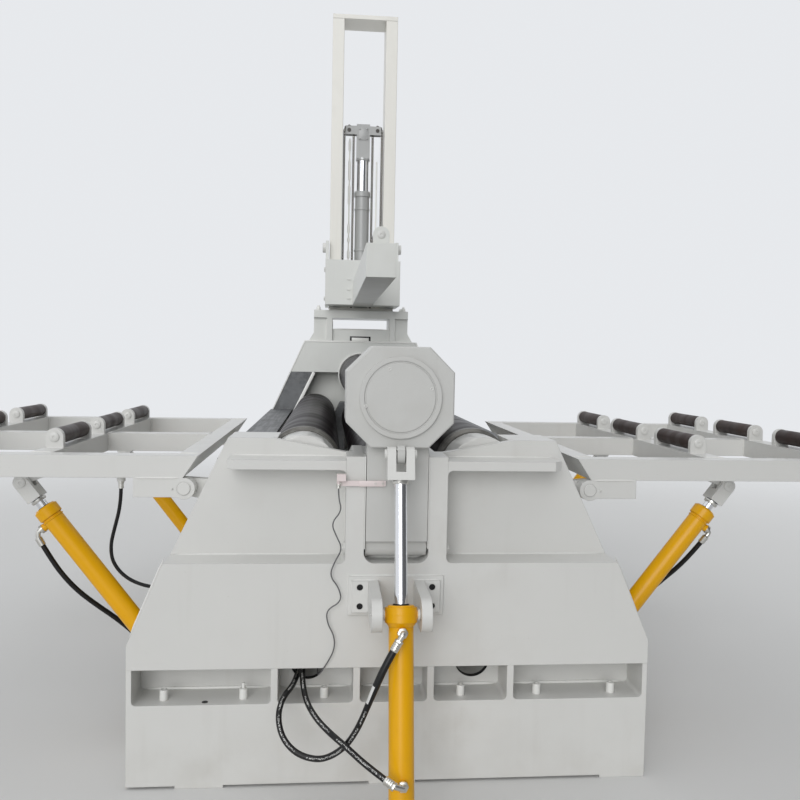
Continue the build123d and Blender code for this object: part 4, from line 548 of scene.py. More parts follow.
class Workpiece:
    """A mesh under construction, made of shapes that are put in place."""

    def __init__(self) -> None:
        """Start with nothing."""
        self.mesh = bmesh.new()

    def put(self, shape: Shape, *places: Matrix) -> None:
        """Add copies of a shape.

        Args:
            shape: the shape in its own frame, which is used up.
            places: where each copy goes.
        """
        bmesh.ops.remove_doubles(shape, verts=shape.verts, dist=SAME_PLACE)
        bmesh.ops.recalc_face_normals(shape, faces=shape.faces)
        for place in places:
            stamp = bpy.data.meshes.new("stamp")
            shape.to_mesh(stamp)
            stamp.transform(place)
            self.mesh.from_mesh(stamp)
            bpy.data.meshes.remove(stamp)
        shape.free()

    def finish(self, name: str, body: str | Body | None, finish: Finish, *replaced: str,
               flat: bool = False) -> Piece:
        """Turn the work into a piece of the machine.

        Args:
            name: the piece's name.
            body: the body that it rides on, or None to leave it on no body.
            finish: its finish.
            replaced: the nodes that it stands for.
            flat: whether all its faces stay flat.

        Returns:
            The piece.
        """
        data = bpy.data.meshes.new(name)
        self.mesh.to_mesh(data)
        self.mesh.free()
        if not flat:
            data.shade_smooth()
            data.set_sharp_from_angle(angle=ROUND_ANGLE)
        return install(name, data, body, finish, *replaced)


class Stock:
    """Built materials by finish name."""

    effects: Effects
    made: dict[str, bpy.types.Material] = {}

    @classmethod
    def material(cls, finish: Finish) -> bpy.types.Material:
        """Return a finish's material, built the first time."""
        if finish.name not in cls.made:
            cls.made[finish.name] = finish.build(cls.effects)
        return cls.made[finish.name]


def placed(name: str, data: bpy.types.ID) -> Piece:
    """Return a new object of the scene that shows some data."""
    piece = bpy.data.objects.new(name, data)
    bpy.context.scene.collection.objects.link(piece)
    return piece


def install(name: str, data: Mesh, body: str | Body | None, finish: Finish,
            *replaced: str) -> Piece:
    """Put a finished mesh into the scene.

    Args:
        name: the piece's name.
        data: its mesh.
        body: the body that it rides on, or None to leave it on no body.
        finish: its finish.
        replaced: the nodes that it stands for.

    Returns:
        The piece.
    """
    piece = placed(name, data)
    data.materials.clear()
    data.materials.append(Stock.material(finish))
    if body is not None:
        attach(piece, body.value if isinstance(body, Body) else body)
    if replaced:
        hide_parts(*replaced)
    LOG.info("%s: %d faces", name, len(data.polygons))
    return piece


def aim(base: Sequence[float], way: Sequence[float], turn: float = 0.0) -> Matrix:
    """Return the placing that sends a foot to base and Z along way, turned by degrees first."""
    lean = Vector(way).to_track_quat("Z", "Y").to_matrix().to_4x4()
    return Matrix.Translation(base) @ lean @ Matrix.Rotation(math.radians(turn), 4, "Z")


def turned(profile: Profile, sides: int = 24) -> Shape:
    """Return a turned shape about Z.

    Args:
        profile: pairs of height and radius, from end to end.
        sides: steps of the full turn.

    Returns:
        The shape.
    """
    shape = bmesh.new()
    line = [shape.verts.new((radius, 0.0, height)) for height, radius in profile]
    edges = [shape.edges.new(pair) for pair in zip(line, line[1:])]
    bmesh.ops.spin(shape, geom=line + edges, cent=(0, 0, 0), axis=UP, angle=math.tau,
                   steps=sides, use_merge=True)
    return shape


def plate(outline: Iterable[Pair], thickness: float, edge: float = 0.0) -> Shape:
    """Return a flat plate that stands on its outline.

    Args:
        outline: X and Y of its corners.
        thickness: its height along Z.
        edge: size of its rounded edges.

    Returns:
        The shape.
    """
    shape = bmesh.new()
    face = shape.faces.new([shape.verts.new((x, y, 0.0)) for x, y in outline])
    grown = bmesh.ops.extrude_face_region(shape, geom=[face])
    top = [part for part in grown["geom"] if isinstance(part, bmesh.types.BMVert)]
    bmesh.ops.translate(shape, verts=top, vec=(0, 0, thickness))
    if edge:
        bmesh.ops.bevel(shape, geom=list(shape.edges), offset=edge, segments=2,
                        profile=0.5, affect="EDGES", material=-1)
    return shape


def slab(size: Point, edge: float = 0.002) -> Shape:
    """Return a block with rounded edges that stands on the middle of its foot."""
    half_x, half_y = size[0] / 2, size[1] / 2
    corners = ((-half_x, -half_y), (half_x, -half_y), (half_x, half_y), (-half_x, half_y))
    return plate(corners, size[2], edge)


def on_circle(radius: float, angle: float) -> Pair:
    """Return the point of a circle at an angle in radians."""
    return (radius * math.cos(angle), radius * math.sin(angle))


def nut(across: float, height: float) -> Shape:
    """Return a hexagon with softened edges; across is over its corners."""
    corners = [on_circle(across / 2, math.tau * place / 6) for place in range(6)]
    return plate(corners, height, height * 0.1)


def cap_screw(diameter: float, height: float) -> Shape:
    """Return a round screw head with a socket."""
    radius = diameter / 2
    return turned([(0, 0), (0, radius), (height * 0.85, radius), (height, radius * 0.88),
                   (height, radius * 0.56), (height * 0.4, radius * 0.5), (height * 0.4, 0)], 18)


def nipple(size: float) -> Shape:
    """Return a grease nipple."""
    return turned([(0, 0), (0, size), (size * 0.9, size), (size * 0.9, size * 0.55),
                   (size * 1.6, size * 0.55), (size * 2.1, size * 0.75), (size * 2.6, size * 0.45),
                   (size * 2.7, 0)], 10)


def disc(radius: float, height: float, chamfer: float, sides: int = 24) -> Shape:
    """Return a round disc with a chamfered upper edge."""
    return turned([(0, 0), (0, radius), (height - chamfer, radius), (height, radius - chamfer),
                   (height, 0)], sides)


def band(inner: float, outer: float, slope: float, height: float, sides: int) -> Shape:
    """Return a ring round a bar, from its inner radius up a slope to its outer one and back."""
    return turned([(0, inner), (slope, outer), (height - slope, outer), (height, inner)], sides)


def pin_cap(radius: float) -> Shape:
    """Return a round keeper cap with a small centre mark."""
    return turned([(0, 0), (0, radius), (0.004, radius), (0.006, radius * 0.85),
                   (0.006, radius * 0.3), (0.004, radius * 0.22), (0.004, 0)], 24)


def bead(length: float, radius: float, dice: random.Random) -> Shape:
    """Return a rippled weld bead along Z.

    Args:
        length: its length.
        radius: its radius.
        dice: the source of its unevenness.

    Returns:
        The shape.
    """
    step_length, sides = 0.9, 6
    ripple, ripple_turn, unevenness = 0.14, 1.3, 0.06
    end_slope, end_share = 6.0, 0.1
    steps = max(6, round(length / (radius * step_length)))
    shape = bmesh.new()
    bmesh.ops.create_grid(shape, x_segments=steps, y_segments=sides, size=0.5)
    swell = [1.0 - ripple + ripple * abs(math.sin(step * ripple_turn))
             + dice.uniform(-unevenness, unevenness) for step in range(steps + 2)]
    for vert in shape.verts:
        share = vert.co.x + 0.5
        turn = (vert.co.y + 0.5) * math.tau
        ends = min(1.0, end_slope * share + end_share, end_slope * (1.0 - share) + end_share)
        reach = radius * swell[round(share * steps)] * ends
        vert.co = (*on_circle(reach, turn), share * length)
    return shape


@dataclass(frozen=True)
class Seam:
    """A weld seam: its bead's radius and the corners of its line."""

    radius: float
    corners: tuple[Point, ...]

    def lay(self, work: Workpiece, dice: random.Random, side: int = 1) -> None:
        """Lay the bead on one side of the machine.

        Args:
            work: the piece that takes the bead.
            dice: the source of its unevenness.
            side: 1 for the right side and -1 for its mirror image.
        """
        line = [Vector((side * x, y, z)) for x, y, z in self.corners]
        for start, end in zip(line, line[1:]):
            way = end - start
            work.put(bead(way.length, self.radius, dice), aim(start, way))


def upright_seam(radius: float, x: float, y: float, low: float, high: float) -> Seam:
    """Return a seam that runs upwards."""
    return Seam(radius, ((x, y, low), (x, y, high)))


def cross_seam(radius: float, start: float, end: float, y: float, z: float) -> Seam:
    """Return a seam that runs across the machine."""
    return Seam(radius, ((start, y, z), (end, y, z)))


@dataclass(frozen=True)
class Brackets:
    """A row of roller brackets: where each roller's pair starts and how long it is."""

    starts: tuple[float, ...]
    length: float
    foot: float
    foot_half: float
    axis: float
    sheet: float = 0.024
    cap: float = 0.021
    seam: float = 0.003

    def caps(self, work: Workpiece, x: float) -> None:
        """Put a cap on both ends of each roller's pin.

        Args:
            work: the piece that takes the caps.
            x: the row's place across the machine.
        """
        for start in self.starts:
            for y, way in ((start, TO_VIEWER), (start + self.length, TO_DRIVE)):
                work.put(pin_cap(self.cap), aim((x, y, self.axis), way))

    def weld(self, work: Workpiece, dice: random.Random, x: float) -> None:
        """Lay the seams in front of and behind each bracket's foot.

        Args:
            work: the piece that takes the beads.
            dice: the source of their unevenness.
            x: the row's place across the machine.
        """
        inner = self.length - self.sheet
        for start in self.starts:
            for y in (start, start + self.sheet, start + inner, start + self.length):
                cross_seam(self.seam, x - self.foot_half, x + self.foot_half, y,
                           self.foot).lay(work, dice)


TABLE_BRACKETS = Brackets(starts=(-1.5, -0.86, -0.22), length=0.416, foot=TABLE_TOP,
                          foot_half=0.038, axis=ROLLER_AXIS)
ARM_BRACKETS = Brackets(starts=(-0.8, -0.08, 0.64), length=0.496, foot=2.228, foot_half=0.043,
                        axis=2.276)


def table_way(side: int) -> Vector:
    """Return the direction of a table cylinder at rest, from foot to pin."""
    across, rise = TABLE_PIN[0] - TABLE_FOOT[0], TABLE_PIN[1] - TABLE_FOOT[1]
    return Vector((side * across, 0, rise)).normalized()


def table_out(side: int) -> Vector:
    """Return the direction square to a table cylinder, outwards and down."""
    way = table_way(side)
    return Vector((side * abs(way.z), 0, -abs(way.x)))


def table_point(side: int, distance: float, y: float) -> Vector:
    """Return a point on a table cylinder's axis, measured up from its foot."""
    return Vector((side * TABLE_FOOT[0], y, TABLE_FOOT[1])) + table_way(side) * distance


def smooth_tube(name: str, places: Sequence[Sequence[float]], radius: float, rings: int,
                swollen: int = 0, swell: float = 1.0, capped: bool = False) -> Mesh:
    """Return the mesh of a round tube along a smooth line.

    Args:
        name: the mesh's name.
        places: the points that guide the line.
        radius: radius of the tube, or 0 for the bare line.
        rings: fineness of its roundness.
        swollen: how many of the last points are thicker.
        swell: how much thicker they are.
        capped: whether its ends are closed.

    Returns:
        The mesh.
    """
    curve = bpy.data.curves.new(name, "CURVE")
    curve.dimensions = "3D"
    curve.resolution_u = 12
    curve.bevel_depth = radius
    curve.bevel_resolution = rings
    curve.use_fill_caps = capped
    spline = curve.splines.new("NURBS")
    spline.points.add(len(places) - 1)
    for number, (point, place) in enumerate(zip(spline.points, places)):
        point.co = (*place, 1.0)
        if number >= len(places) - swollen:
            point.radius = swell
    spline.order_u = 3
    spline.use_endpoint_u = True
    holder = bpy.data.objects.new(name, curve)
    mesh = bpy.data.meshes.new_from_object(holder)
    bpy.data.objects.remove(holder)
    return mesh


@dataclass(frozen=True)
class HoseSkin(Finish):
    """Black rubber with a pale printed line and a silver label, or plain grey wire."""

    name: str = "hose_rubber_skin"
    slot: Slot = Slot.RUBBER
    coat: Coat = Coat(tint=(0.006, 0.006, 0.0065), roughness=0.34, soil=(0.04, 0.037, 0.033),
                      dirt=0.2, relief=0.1)
    gloss: float = 0.35
    label: Pair | None = None
    printed: bool = False
    label_arc: Pair = (0.13, 0.1)
    label_colour: Colour = (0.74, 0.74, 0.72)
    label_metal: float = 0.5
    print_arc: Pair = (0.01, 0.045)
    print_colour: Colour = (0.62, 0.62, 0.6)
    print_share: float = 0.8
    mark_scale: Pair = (190.0, 14.0)
    mark_band: Pair = (0.48, 0.53)
    group_scale: float = 16.0
    group_band: Pair = (0.42, 0.48)

    def _print_marks(self, graph: Graph, along: Socket, around: Socket) -> Socket:
        """Return where the skin has its printed marks, which stand in groups.

        Args:
            graph: the material's graph.
            along: the way along the hose.
            around: the turn from the side towards the viewer.

        Returns:
            The mask.
        """
        fine, wide = self.mark_scale
        spot = graph.add("CombineXYZ", {0: graph.times(along, fine),
                                        1: graph.times(around, wide)}).outputs[0]
        group = graph.add("CombineXYZ", {0: graph.times(along, self.group_scale)}).outputs[0]
        marks = graph.times(graph.step(graph.noise(spot, 1.0, 1.0), *self.mark_band),
                            graph.step(graph.noise(group, 1.0, 1.0), *self.group_band))
        middle, half = self.print_arc
        side = graph.calc("ABSOLUTE", graph.calc("SUBTRACT", around, middle))
        return graph.times(marks, graph.calc("LESS_THAN", side, half))

    def _layer(self, graph: Graph, effects: Effects, coat: Coat, edges: bpy.types.Node) -> list:
        """Lay out the skin, its print marks and its label, and return their values."""
        colour, rough, metal, height = super()._layer(graph, effects, coat, edges)
        if not self.printed:
            return [colour, rough, metal, height]
        along = graph.add("Attribute", attribute_name="along").outputs["Fac"]
        around = graph.add("Attribute", attribute_name="around").outputs["Fac"]
        marks = self._print_marks(graph, along, around)
        if self.label:
            marks = graph.times(marks, graph.calc("LESS_THAN", along, self.label[0]))
        share = graph.times(marks, self.print_share)
        colour = graph.mix(share, colour, rgba(self.print_colour))
        if not self.label:
            return [colour, rough, metal, height]
        low, high = self.label
        label = graph.times(graph.calc("GREATER_THAN", along, low),
                            graph.calc("LESS_THAN", along, high))
        middle, half = self.label_arc
        side = graph.calc("ABSOLUTE", graph.plus(around, middle))
        label = graph.times(label, graph.calc("LESS_THAN", side, half))
        colour = graph.mix(label, colour, rgba(self.label_colour))
        return [colour, rough, graph.times(label, self.label_metal), height]


WIRE_SKIN = HoseSkin("grey_wire_skin", coat=Coat(
    tint=(0.13, 0.13, 0.135), roughness=0.5, soil=(0.1, 0.1, 0.1), dirt=0.2, relief=0.02))


@dataclass(frozen=True)
class Hose:
    """A hose or wire: its route, size, what it joins and how its skin looks."""

    name: str
    route: tuple[Point, ...]
    diameter: float
    length: float
    node: str
    moves_with: str
    start: Point
    end: Point
    label: Pair | None = None
    printed: bool = False
    sleeved: int = 0
    thin: bool = False
    rings: int = 4


HOSES = (
    Hose("hose_to_upper_port",
         ((-0.364, -1.69, 0.382), (-0.364, -1.755, 0.382), (-0.367, -1.845, 0.38),
          (-0.374, -1.94, 0.384), (-0.386, -2.028, 0.385), (-0.416, -2.104, 0.377),
          (-0.432, -2.162, 0.332), (-0.413, -2.206, 0.271), (-0.361, -2.236, 0.226),
          (-0.29, -2.258, 0.213), (-0.237, -2.292, 0.241), (-0.184, -2.33, 0.299),
          (-0.146, -2.356, 0.374), (-0.118, -2.374, 0.452), (-0.09, -2.382, 0.528),
          (-0.061, -2.381, 0.594), (-0.033, -2.374, 0.642)),
         diameter=0.022, length=1.278, node="drop_hose_a", moves_with="drop_barrel",
         start=(-0.4, -2.1, 0.344), end=(-0.033, -2.374, 0.642), label=(1.055, 1.12),
         printed=True, sleeved=3),
    Hose("hose_to_lower_port",
         ((-0.344, -1.69, 0.432), (-0.344, -1.755, 0.432), (-0.346, -1.845, 0.43),
          (-0.35, -1.94, 0.42), (-0.346, -2.035, 0.398), (-0.33, -2.118, 0.363),
          (-0.292, -2.2, 0.335), (-0.244, -2.282, 0.321), (-0.193, -2.358, 0.311),
          (-0.144, -2.418, 0.291), (-0.101, -2.452, 0.27), (-0.062, -2.476, 0.25)),
         diameter=0.022, length=0.909, node="drop_hose_b", moves_with="drop_barrel",
         start=(-0.346, -2.035, 0.398), end=(-0.062, -2.476, 0.25), printed=True),
    Hose("switch_wire",
         ((-0.222, -2.056, 1.15), (-0.222, -2.056, 1.11), (-0.208, -2.055, 1.062),
          (-0.248, -2.053, 1.014), (-0.228, -2.052, 0.966), (-0.204, -2.052, 0.918),
          (-0.232, -2.05, 0.868), (-0.252, -2.05, 0.816), (-0.214, -2.052, 0.768),
          (-0.204, -2.056, 0.718), (-0.262, -2.054, 0.686), (-0.256, -2.051, 0.632),
          (-0.23, -2.049, 0.586), (-0.228, -2.05, 0.534), (-0.254, -2.048, 0.482),
          (-0.282, -2.028, 0.434), (-0.29, -1.978, 0.408), (-0.292, -1.918, 0.408),
          (-0.293, -1.858, 0.412), (-0.292, -1.798, 0.412), (-0.293, -1.742, 0.413),
          (-0.293, -1.69, 0.413)),
         diameter=0.005, length=1.135, node="sensor_wire", moves_with="drop_head",
         start=(-0.23, -2.05, 0.6), end=(-0.222, -2.056, 1.12), thin=True, rings=2),
    Hose("left_table_hose",
         ((-0.854, -1.312, 0.172), (-0.93, -1.312, 0.172), (-1.008, -1.33, 0.224),
          (-1.064, -1.356, 0.304), (-1.122, -1.388, 0.388), (-1.19, -1.424, 0.464),
          (-1.261, -1.461, 0.533), (-1.327, -1.494, 0.602), (-1.383, -1.517, 0.676),
          (-1.43, -1.527, 0.752), (-1.464, -1.529, 0.812)),
         diameter=0.022, length=0.945, node="left_near_hose", moves_with="left_barrels",
         start=(-0.93, -1.312, 0.172), end=(-1.464, -1.529, 0.812)),
    Hose("right_table_hose",
         ((0.854, -1.3, 0.172), (0.93, -1.3, 0.172), (1.008, -1.304, 0.224),
          (1.066, -1.316, 0.304), (1.124, -1.334, 0.388), (1.186, -1.36, 0.47),
          (1.25, -1.39, 0.548), (1.312, -1.424, 0.622), (1.368, -1.462, 0.692),
          (1.412, -1.496, 0.762), (1.446, -1.518, 0.82)),
         diameter=0.022, length=0.941, node="right_near_hose", moves_with="right_barrels",
         start=(0.93, -1.3, 0.172), end=(1.446, -1.518, 0.82)),
    Hose("hanging_return_hose",
         ((-1.098, -1.7, 1.115), (-1.098, -1.7, 1.06), (-1.112, -1.676, 0.985),
          (-1.138, -1.646, 0.908), (-1.16, -1.622, 0.832), (-1.156, -1.606, 0.758),
          (-1.112, -1.6, 0.697), (-1.05, -1.594, 0.66), (-0.98, -1.58, 0.64),
          (-0.914, -1.552, 0.606), (-0.866, -1.512, 0.552), (-0.834, -1.47, 0.486),
          (-0.812, -1.436, 0.412), (-0.8, -1.415, 0.336), (-0.798, -1.412, 0.278),
          (-0.798, -1.412, 0.224)),
         diameter=0.015, length=1.118, node="left_hanging_hose", moves_with="left_table",
         start=(-0.866, -1.512, 0.552), end=(-1.098, -1.7, 1.09)),
)


@dataclass
class Hoses:
    """Every hose and the wire, each a smooth tube along its route."""

    sleeve_swell: float = 1.2
    viewer: Point = (0.0, -0.9, 0.43)

    def _mark(self, mesh: Mesh, path: list[Vector]) -> None:
        """Write each vertex's way along its tube and its turn from the side towards the viewer.

        Args:
            mesh: the tube.
            path: its centre line.
        """
        ring = len(mesh.vertices) // len(path)
        along = mesh.attributes.new("along", "FLOAT", "POINT")
        around = mesh.attributes.new("around", "FLOAT", "POINT")
        gone = 0.0
        for number, centre in enumerate(path):
            before, after = path[max(number - 1, 0)], path[min(number + 1, len(path) - 1)]
            way = (after - before).normalized()
            front = Vector(self.viewer) - way * way.dot(Vector(self.viewer))
            front.normalize()
            side = way.cross(front)
            gone += (centre - before).length
            for place in range(number * ring, (number + 1) * ring):
                offset = mesh.vertices[place].co - centre
                turn = math.atan2(offset.dot(side), offset.dot(front)) / math.tau
                along.data[place].value = gone
                around.data[place].value = turn

    def build(self) -> None:
        for hose in HOSES:
            line = smooth_tube(hose.name + "_line", hose.route, 0.0, hose.rings)
            path = [vertex.co.copy() for vertex in line.vertices]
            tube = smooth_tube(hose.name + "_line", hose.route, hose.diameter / 2, hose.rings,
                               hose.sleeved, self.sleeve_swell)
            self._mark(tube, path)
            tube.shade_smooth()
            skin = WIRE_SKIN
            if not hose.thin:
                skin = HoseSkin("skin_of_" + hose.name, label=hose.label, printed=hose.printed)
            piece = install(hose.name, tube, None, skin, hose.node)
            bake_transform(piece)


@dataclass
class Fittings:
    """Elbows, nuts and crimped sleeves at the hose ends."""

    ports: Pair = (0.058, 0.55)
    port_face: float = 0.058
    nut_across: float = 0.038
    nut_height: float = 0.012
    sleeve: float = 0.030
    sleeve_length: float = 0.036
    sleeve_grip: float = 0.034
    crimps: int = 4
    crimp_pitch: float = 0.0075
    elbow: float = 0.020
    elbow_reach: float = 0.03
    socket_nut: float = 0.04
    cuff_length: float = 0.034
    cuff_grip: float = 0.03

    def crimp(self) -> Shape:
        """Return a crimped sleeve with pressed flats, from the hose upwards."""
        radius = self.sleeve / 2
        profile = [(0.0, 0.0), (0.0, radius * 0.9)]
        for place in range(self.crimps):
            start = 0.002 + place * self.crimp_pitch
            profile += [(start, radius), (start + 0.0045, radius), (start + 0.006, radius * 0.9)]
        profile += [(self.sleeve_grip, radius * 0.8), (self.sleeve_length, radius * 0.62),
                    (self.sleeve_length, 0.0)]
        return turned(profile, 20)

    def bend(self, start: Vector, corner: Vector, end: Vector) -> Shape:
        """Return a bent pipe from start round a corner to end.

        Args:
            start: where it starts.
            corner: the corner that it rounds.
            end: where it ends.

        Returns:
            The shape, already in place.
        """
        places = [start, start.lerp(corner, 0.5), corner, corner.lerp(end, 0.5), end]
        shape = bmesh.new()
        shape.from_mesh(smooth_tube("bend", places, self.elbow / 2, 4, capped=True))
        return shape

    def join(self, work: Workpiece, face: Vector, way: Vector, hose: Hose) -> None:
        """Add the elbow, nut and sleeve between a port and a hose's end.

        Args:
            work: the piece that takes them.
            face: the middle of the port's face.
            way: where the port points.
            hose: the hose.
        """
        end = Vector(hose.route[-1])
        back = (end - Vector(hose.route[-2])).normalized()
        top = end + back * self.sleeve_length
        work.put(self.bend(face, face + way * self.elbow_reach, top), Matrix.Identity(4))
        work.put(nut(self.nut_across, self.nut_height), aim(face, way))
        work.put(self.crimp(), aim(end, back))
        work.put(nut(self.sleeve * 1.02, 0.009), aim(top - back * 0.004, back))

    def _drop_ports(self) -> None:
        """Add the elbows of the drop cylinder and the brass rings under them."""
        axis = (Vector(DROP_PIN) - Vector(TRUNNION)).normalized()
        out = Vector((0, -axis.z, axis.y))
        work, rings = Workpiece(), Workpiece()
        for hose, port in zip(HOSES[:2], self.ports):
            face = Vector(TRUNNION) - axis * port + out * self.port_face
            self.join(work, face, out, hose)
            rings.put(turned([(0, 0), (0, 0.0175), (0.003, 0.0185), (0.005, 0.0175),
                              (0.005, 0.009)]), aim(face - out * 0.003, out))
        work.finish("drop_cylinder_fittings", Body.BARREL, PLATED, "drop_hose_fittings")
        rings.finish("port_rings", Body.BARREL, BRASS)

    def _cuffs(self, hose: Hose) -> None:
        """Add the cuffs at both ends of the hanging hose.

        Args:
            hose: the hanging hose.
        """
        profile = [(0, 0), (0, 0.0105), (0.022, 0.0105), (0.024, 0.013),
                   (self.cuff_length, 0.013), (self.cuff_length, 0)]
        for label, body, end, near in (("top", "left_table", *hose.route[:2]),
                                       ("foot", Body.FRAME, *hose.route[:-3:-1])):
            way = (Vector(end) - Vector(near)).normalized()
            cuff = Workpiece()
            cuff.put(turned(profile, 16), aim(Vector(end) - way * self.cuff_grip, way))
            cuff.finish("return_hose_cuff_" + label, body, PLATED)

    def _bed_sockets(self, hoses: Sequence[Hose]) -> None:
        """Add the sleeves and nuts where the table hoses leave the bed.

        Args:
            hoses: the two table hoses.
        """
        work = Workpiece()
        for hose in hoses:
            start, near = Vector(hose.route[0]), Vector(hose.route[1])
            back = start - near
            work.put(self.crimp(), aim(start - back.normalized() * self.sleeve_grip, back))
            work.put(nut(self.socket_nut, self.nut_height), aim(start, back))
        work.finish("bed_hose_sleeves", Body.FRAME, PLATED)

    def build(self) -> None:
        """Add the fittings of every hose."""
        self._drop_ports()
        self._cuffs(HOSES[5])
        self._bed_sockets(HOSES[3:5])


@dataclass
class NearFrame:
    """Small parts and weld seams of the drop end frame."""

    stud_places: tuple[float, ...] = (-0.872, -0.573, -0.265, 0.268, 0.572, 0.872)
    stud_line: float = -1.972
    open_hole: Point = (-0.714, -2.002, BAY_FLOOR)
    bracket_face: float = -2.0505
    screw_places: Pairs = ((-0.1365, 0.7), (-0.1365, 0.772), (0.1365, 0.7), (0.1365, 0.772))
    screw_size: Pair = (0.0225, 0.009)
    keeper_screws: Pair = (-0.012, 0.012)
    cable_hole: Point = (0.33, -1.8705, 0.42)
    slot: float = 0.123
    lip_end: float = 0.638
    pad: float = 0.181
    bays: Pairs = ((0.155, 0.44), (0.466, 0.98))
    middle_bay: float = 0.113
    bay_gap: float = 0.016

    def _studs(self) -> None:
        """Add the painted anchor studs, and a thin black disc on the floor: the painted shade of
        its one open hole.
        """
        work = Workpiece()
        places = [aim((x, self.stud_line, BAY_FLOOR), UP, x * 500) for x in self.stud_places]
        sleeve = turned([(0, 0), (0, 0.0165), (0.037, 0.016), (0.04, 0.0135), (0.04, 0.007),
                         (0.036, 0.006), (0.036, 0)])
        tip = turned([(0.036, 0), (0.036, 0.0065), (0.06, 0.006), (0.062, 0.004), (0.062, 0)], 12)
        work.put(sleeve, *places)
        work.put(tip, places[1])
        work.finish("anchor_studs", Body.FRAME, PALE_PAINT_AND_HIGHLIGHT)
        # Painted shade: a thin black disc stands in for the dark inside of the open hole.
        hole = Workpiece()
        hole.put(turned([(0, 0), (0, 0.012), (0.0006, 0.0115), (0.0006, 0)]),
                 aim(self.open_hole, UP))
        hole.finish("bay_floor_hole_shade", Body.FRAME, BLACK_STEEL_AND_SHADE)

    def _screws(self) -> None:
        """Add the four black socket screws of the trunnion bracket."""
        work = Workpiece()
        work.put(cap_screw(*self.screw_size),
                 *[aim((x, self.bracket_face, z), TO_VIEWER) for x, z in self.screw_places])
        work.finish("bracket_screws", Body.FRAME, BLACK_STEEL_AND_SHADE)

    def _shaft_ends(self) -> None:
        """Add keeper plates and their screws at the ends of the cross shaft."""
        work = Workpiece()
        y, z = SHAFT
        for _, side in SIDES:
            way = (side, 0, 0)
            work.put(disc(0.026, 0.008, 0.002), aim((side * POST, y, z), way))
            work.put(nut(0.02, 0.007), *[aim((side * 0.2, y + gap, z), way)
                                         for gap in self.keeper_screws])
        work.finish("cross_shaft_keepers", Body.FRAME, NUT_PAINT)

    def _seam_lines(self) -> tuple[Seam, ...]:
        """Return the seams of the frame's right side."""
        shelf, plate_face = 0.215, -2.0445
        base, base_foot, base_top = 0.167, 0.676, 0.796
        pad_foot, pad_top = 0.662, 0.81
        return (upright_seam(0.005, POST, PANEL_FACE, LEDGE + 0.02, 1.19),
                cross_seam(0.005, shelf, 0.85, PANEL_FACE, LEDGE),
                cross_seam(0.005, shelf, self.lip_end, PANEL_FACE, 1.21),
                cross_seam(0.005, POST, self.lip_end, PANEL_FACE, 1.246),
                upright_seam(0.004, self.slot, -1.93, LEDGE + 0.04, 1.25),
                Seam(0.0035, ((base, plate_face, base_foot), (base, plate_face, base_top),
                              (0.074, plate_face, base_top))),
                Seam(0.004, ((self.pad, FRONT, pad_foot), (self.pad, FRONT, pad_top),
                             (0, FRONT, pad_top))),
                cross_seam(0.004, self.pad, 0, FRONT, pad_foot),
                Seam(0.005, ((0.8685, -1.99, 0.872), (0.998, -1.99, 0.565))))

    def _bay_seam(self, start: float, end: float) -> Seam:
        """Return the seam at the back of a bay's floor."""
        return cross_seam(0.008, start, end, BAY_BACK, BAY_FLOOR + 0.002)

    def _seams(self) -> None:
        """Lay the frame's weld seams."""
        dice = random.Random(11)
        work, bright = Workpiece(), Workpiece()
        for _, side in SIDES:
            for seam in self._seam_lines():
                seam.lay(work, dice, side)
            for start, end in self.bays:
                self._bay_seam(start + self.bay_gap, end - self.bay_gap).lay(bright, dice, side)
        self._bay_seam(-self.middle_bay, self.middle_bay).lay(bright, dice)
        work.finish("near_frame_seams", Body.FRAME, WELD_PAINT)
        # The bay seams take the brighter paint: a painted highlight along each bay's back corner.
        bright.finish("highlighted_bay_seams", Body.FRAME, PALE_PAINT_AND_HIGHLIGHT)

    def _slot_painted_light_plates(self) -> None:
        """Put thin plates on the slot's sides beside the head's stem and a floor below its knuckle,
        in the brighter paint: painted light that keeps the slot's shade from going black.
        """
        work = Workpiece()
        work.put(slab((0.004, 0.13, 0.352), 0.0008), *[aim((side * 0.121, -1.965, 0.91), UP)
                                                       for _, side in SIDES])
        work.put(slab((0.24, 0.055, 0.03), 0.004), aim((0, -1.91, 0.848), UP))
        work.finish("slot_painted_light_plates", Body.FRAME, PALE_PAINT_AND_HIGHLIGHT)

    def _hole_rims(self) -> None:
        """Add the rubber-lined rims of the two cable holes."""
        work = Workpiece()
        x, y, z = self.cable_hole
        for _, side in SIDES:
            work.put(turned([(0, 0.0695), (-0.003, 0.067), (-0.02, 0.067), (-0.02, 0.0695)], 36),
                     aim((side * x, y, z), TO_VIEWER))
        work.finish("cable_hole_rims", Body.FRAME, BLACK_STEEL_AND_SHADE)

    def build(self) -> None:
        """Add every part."""
        self._studs()
        self._screws()
        self._shaft_ends()
        self._seams()
        self._slot_painted_light_plates()
        self._hole_rims()


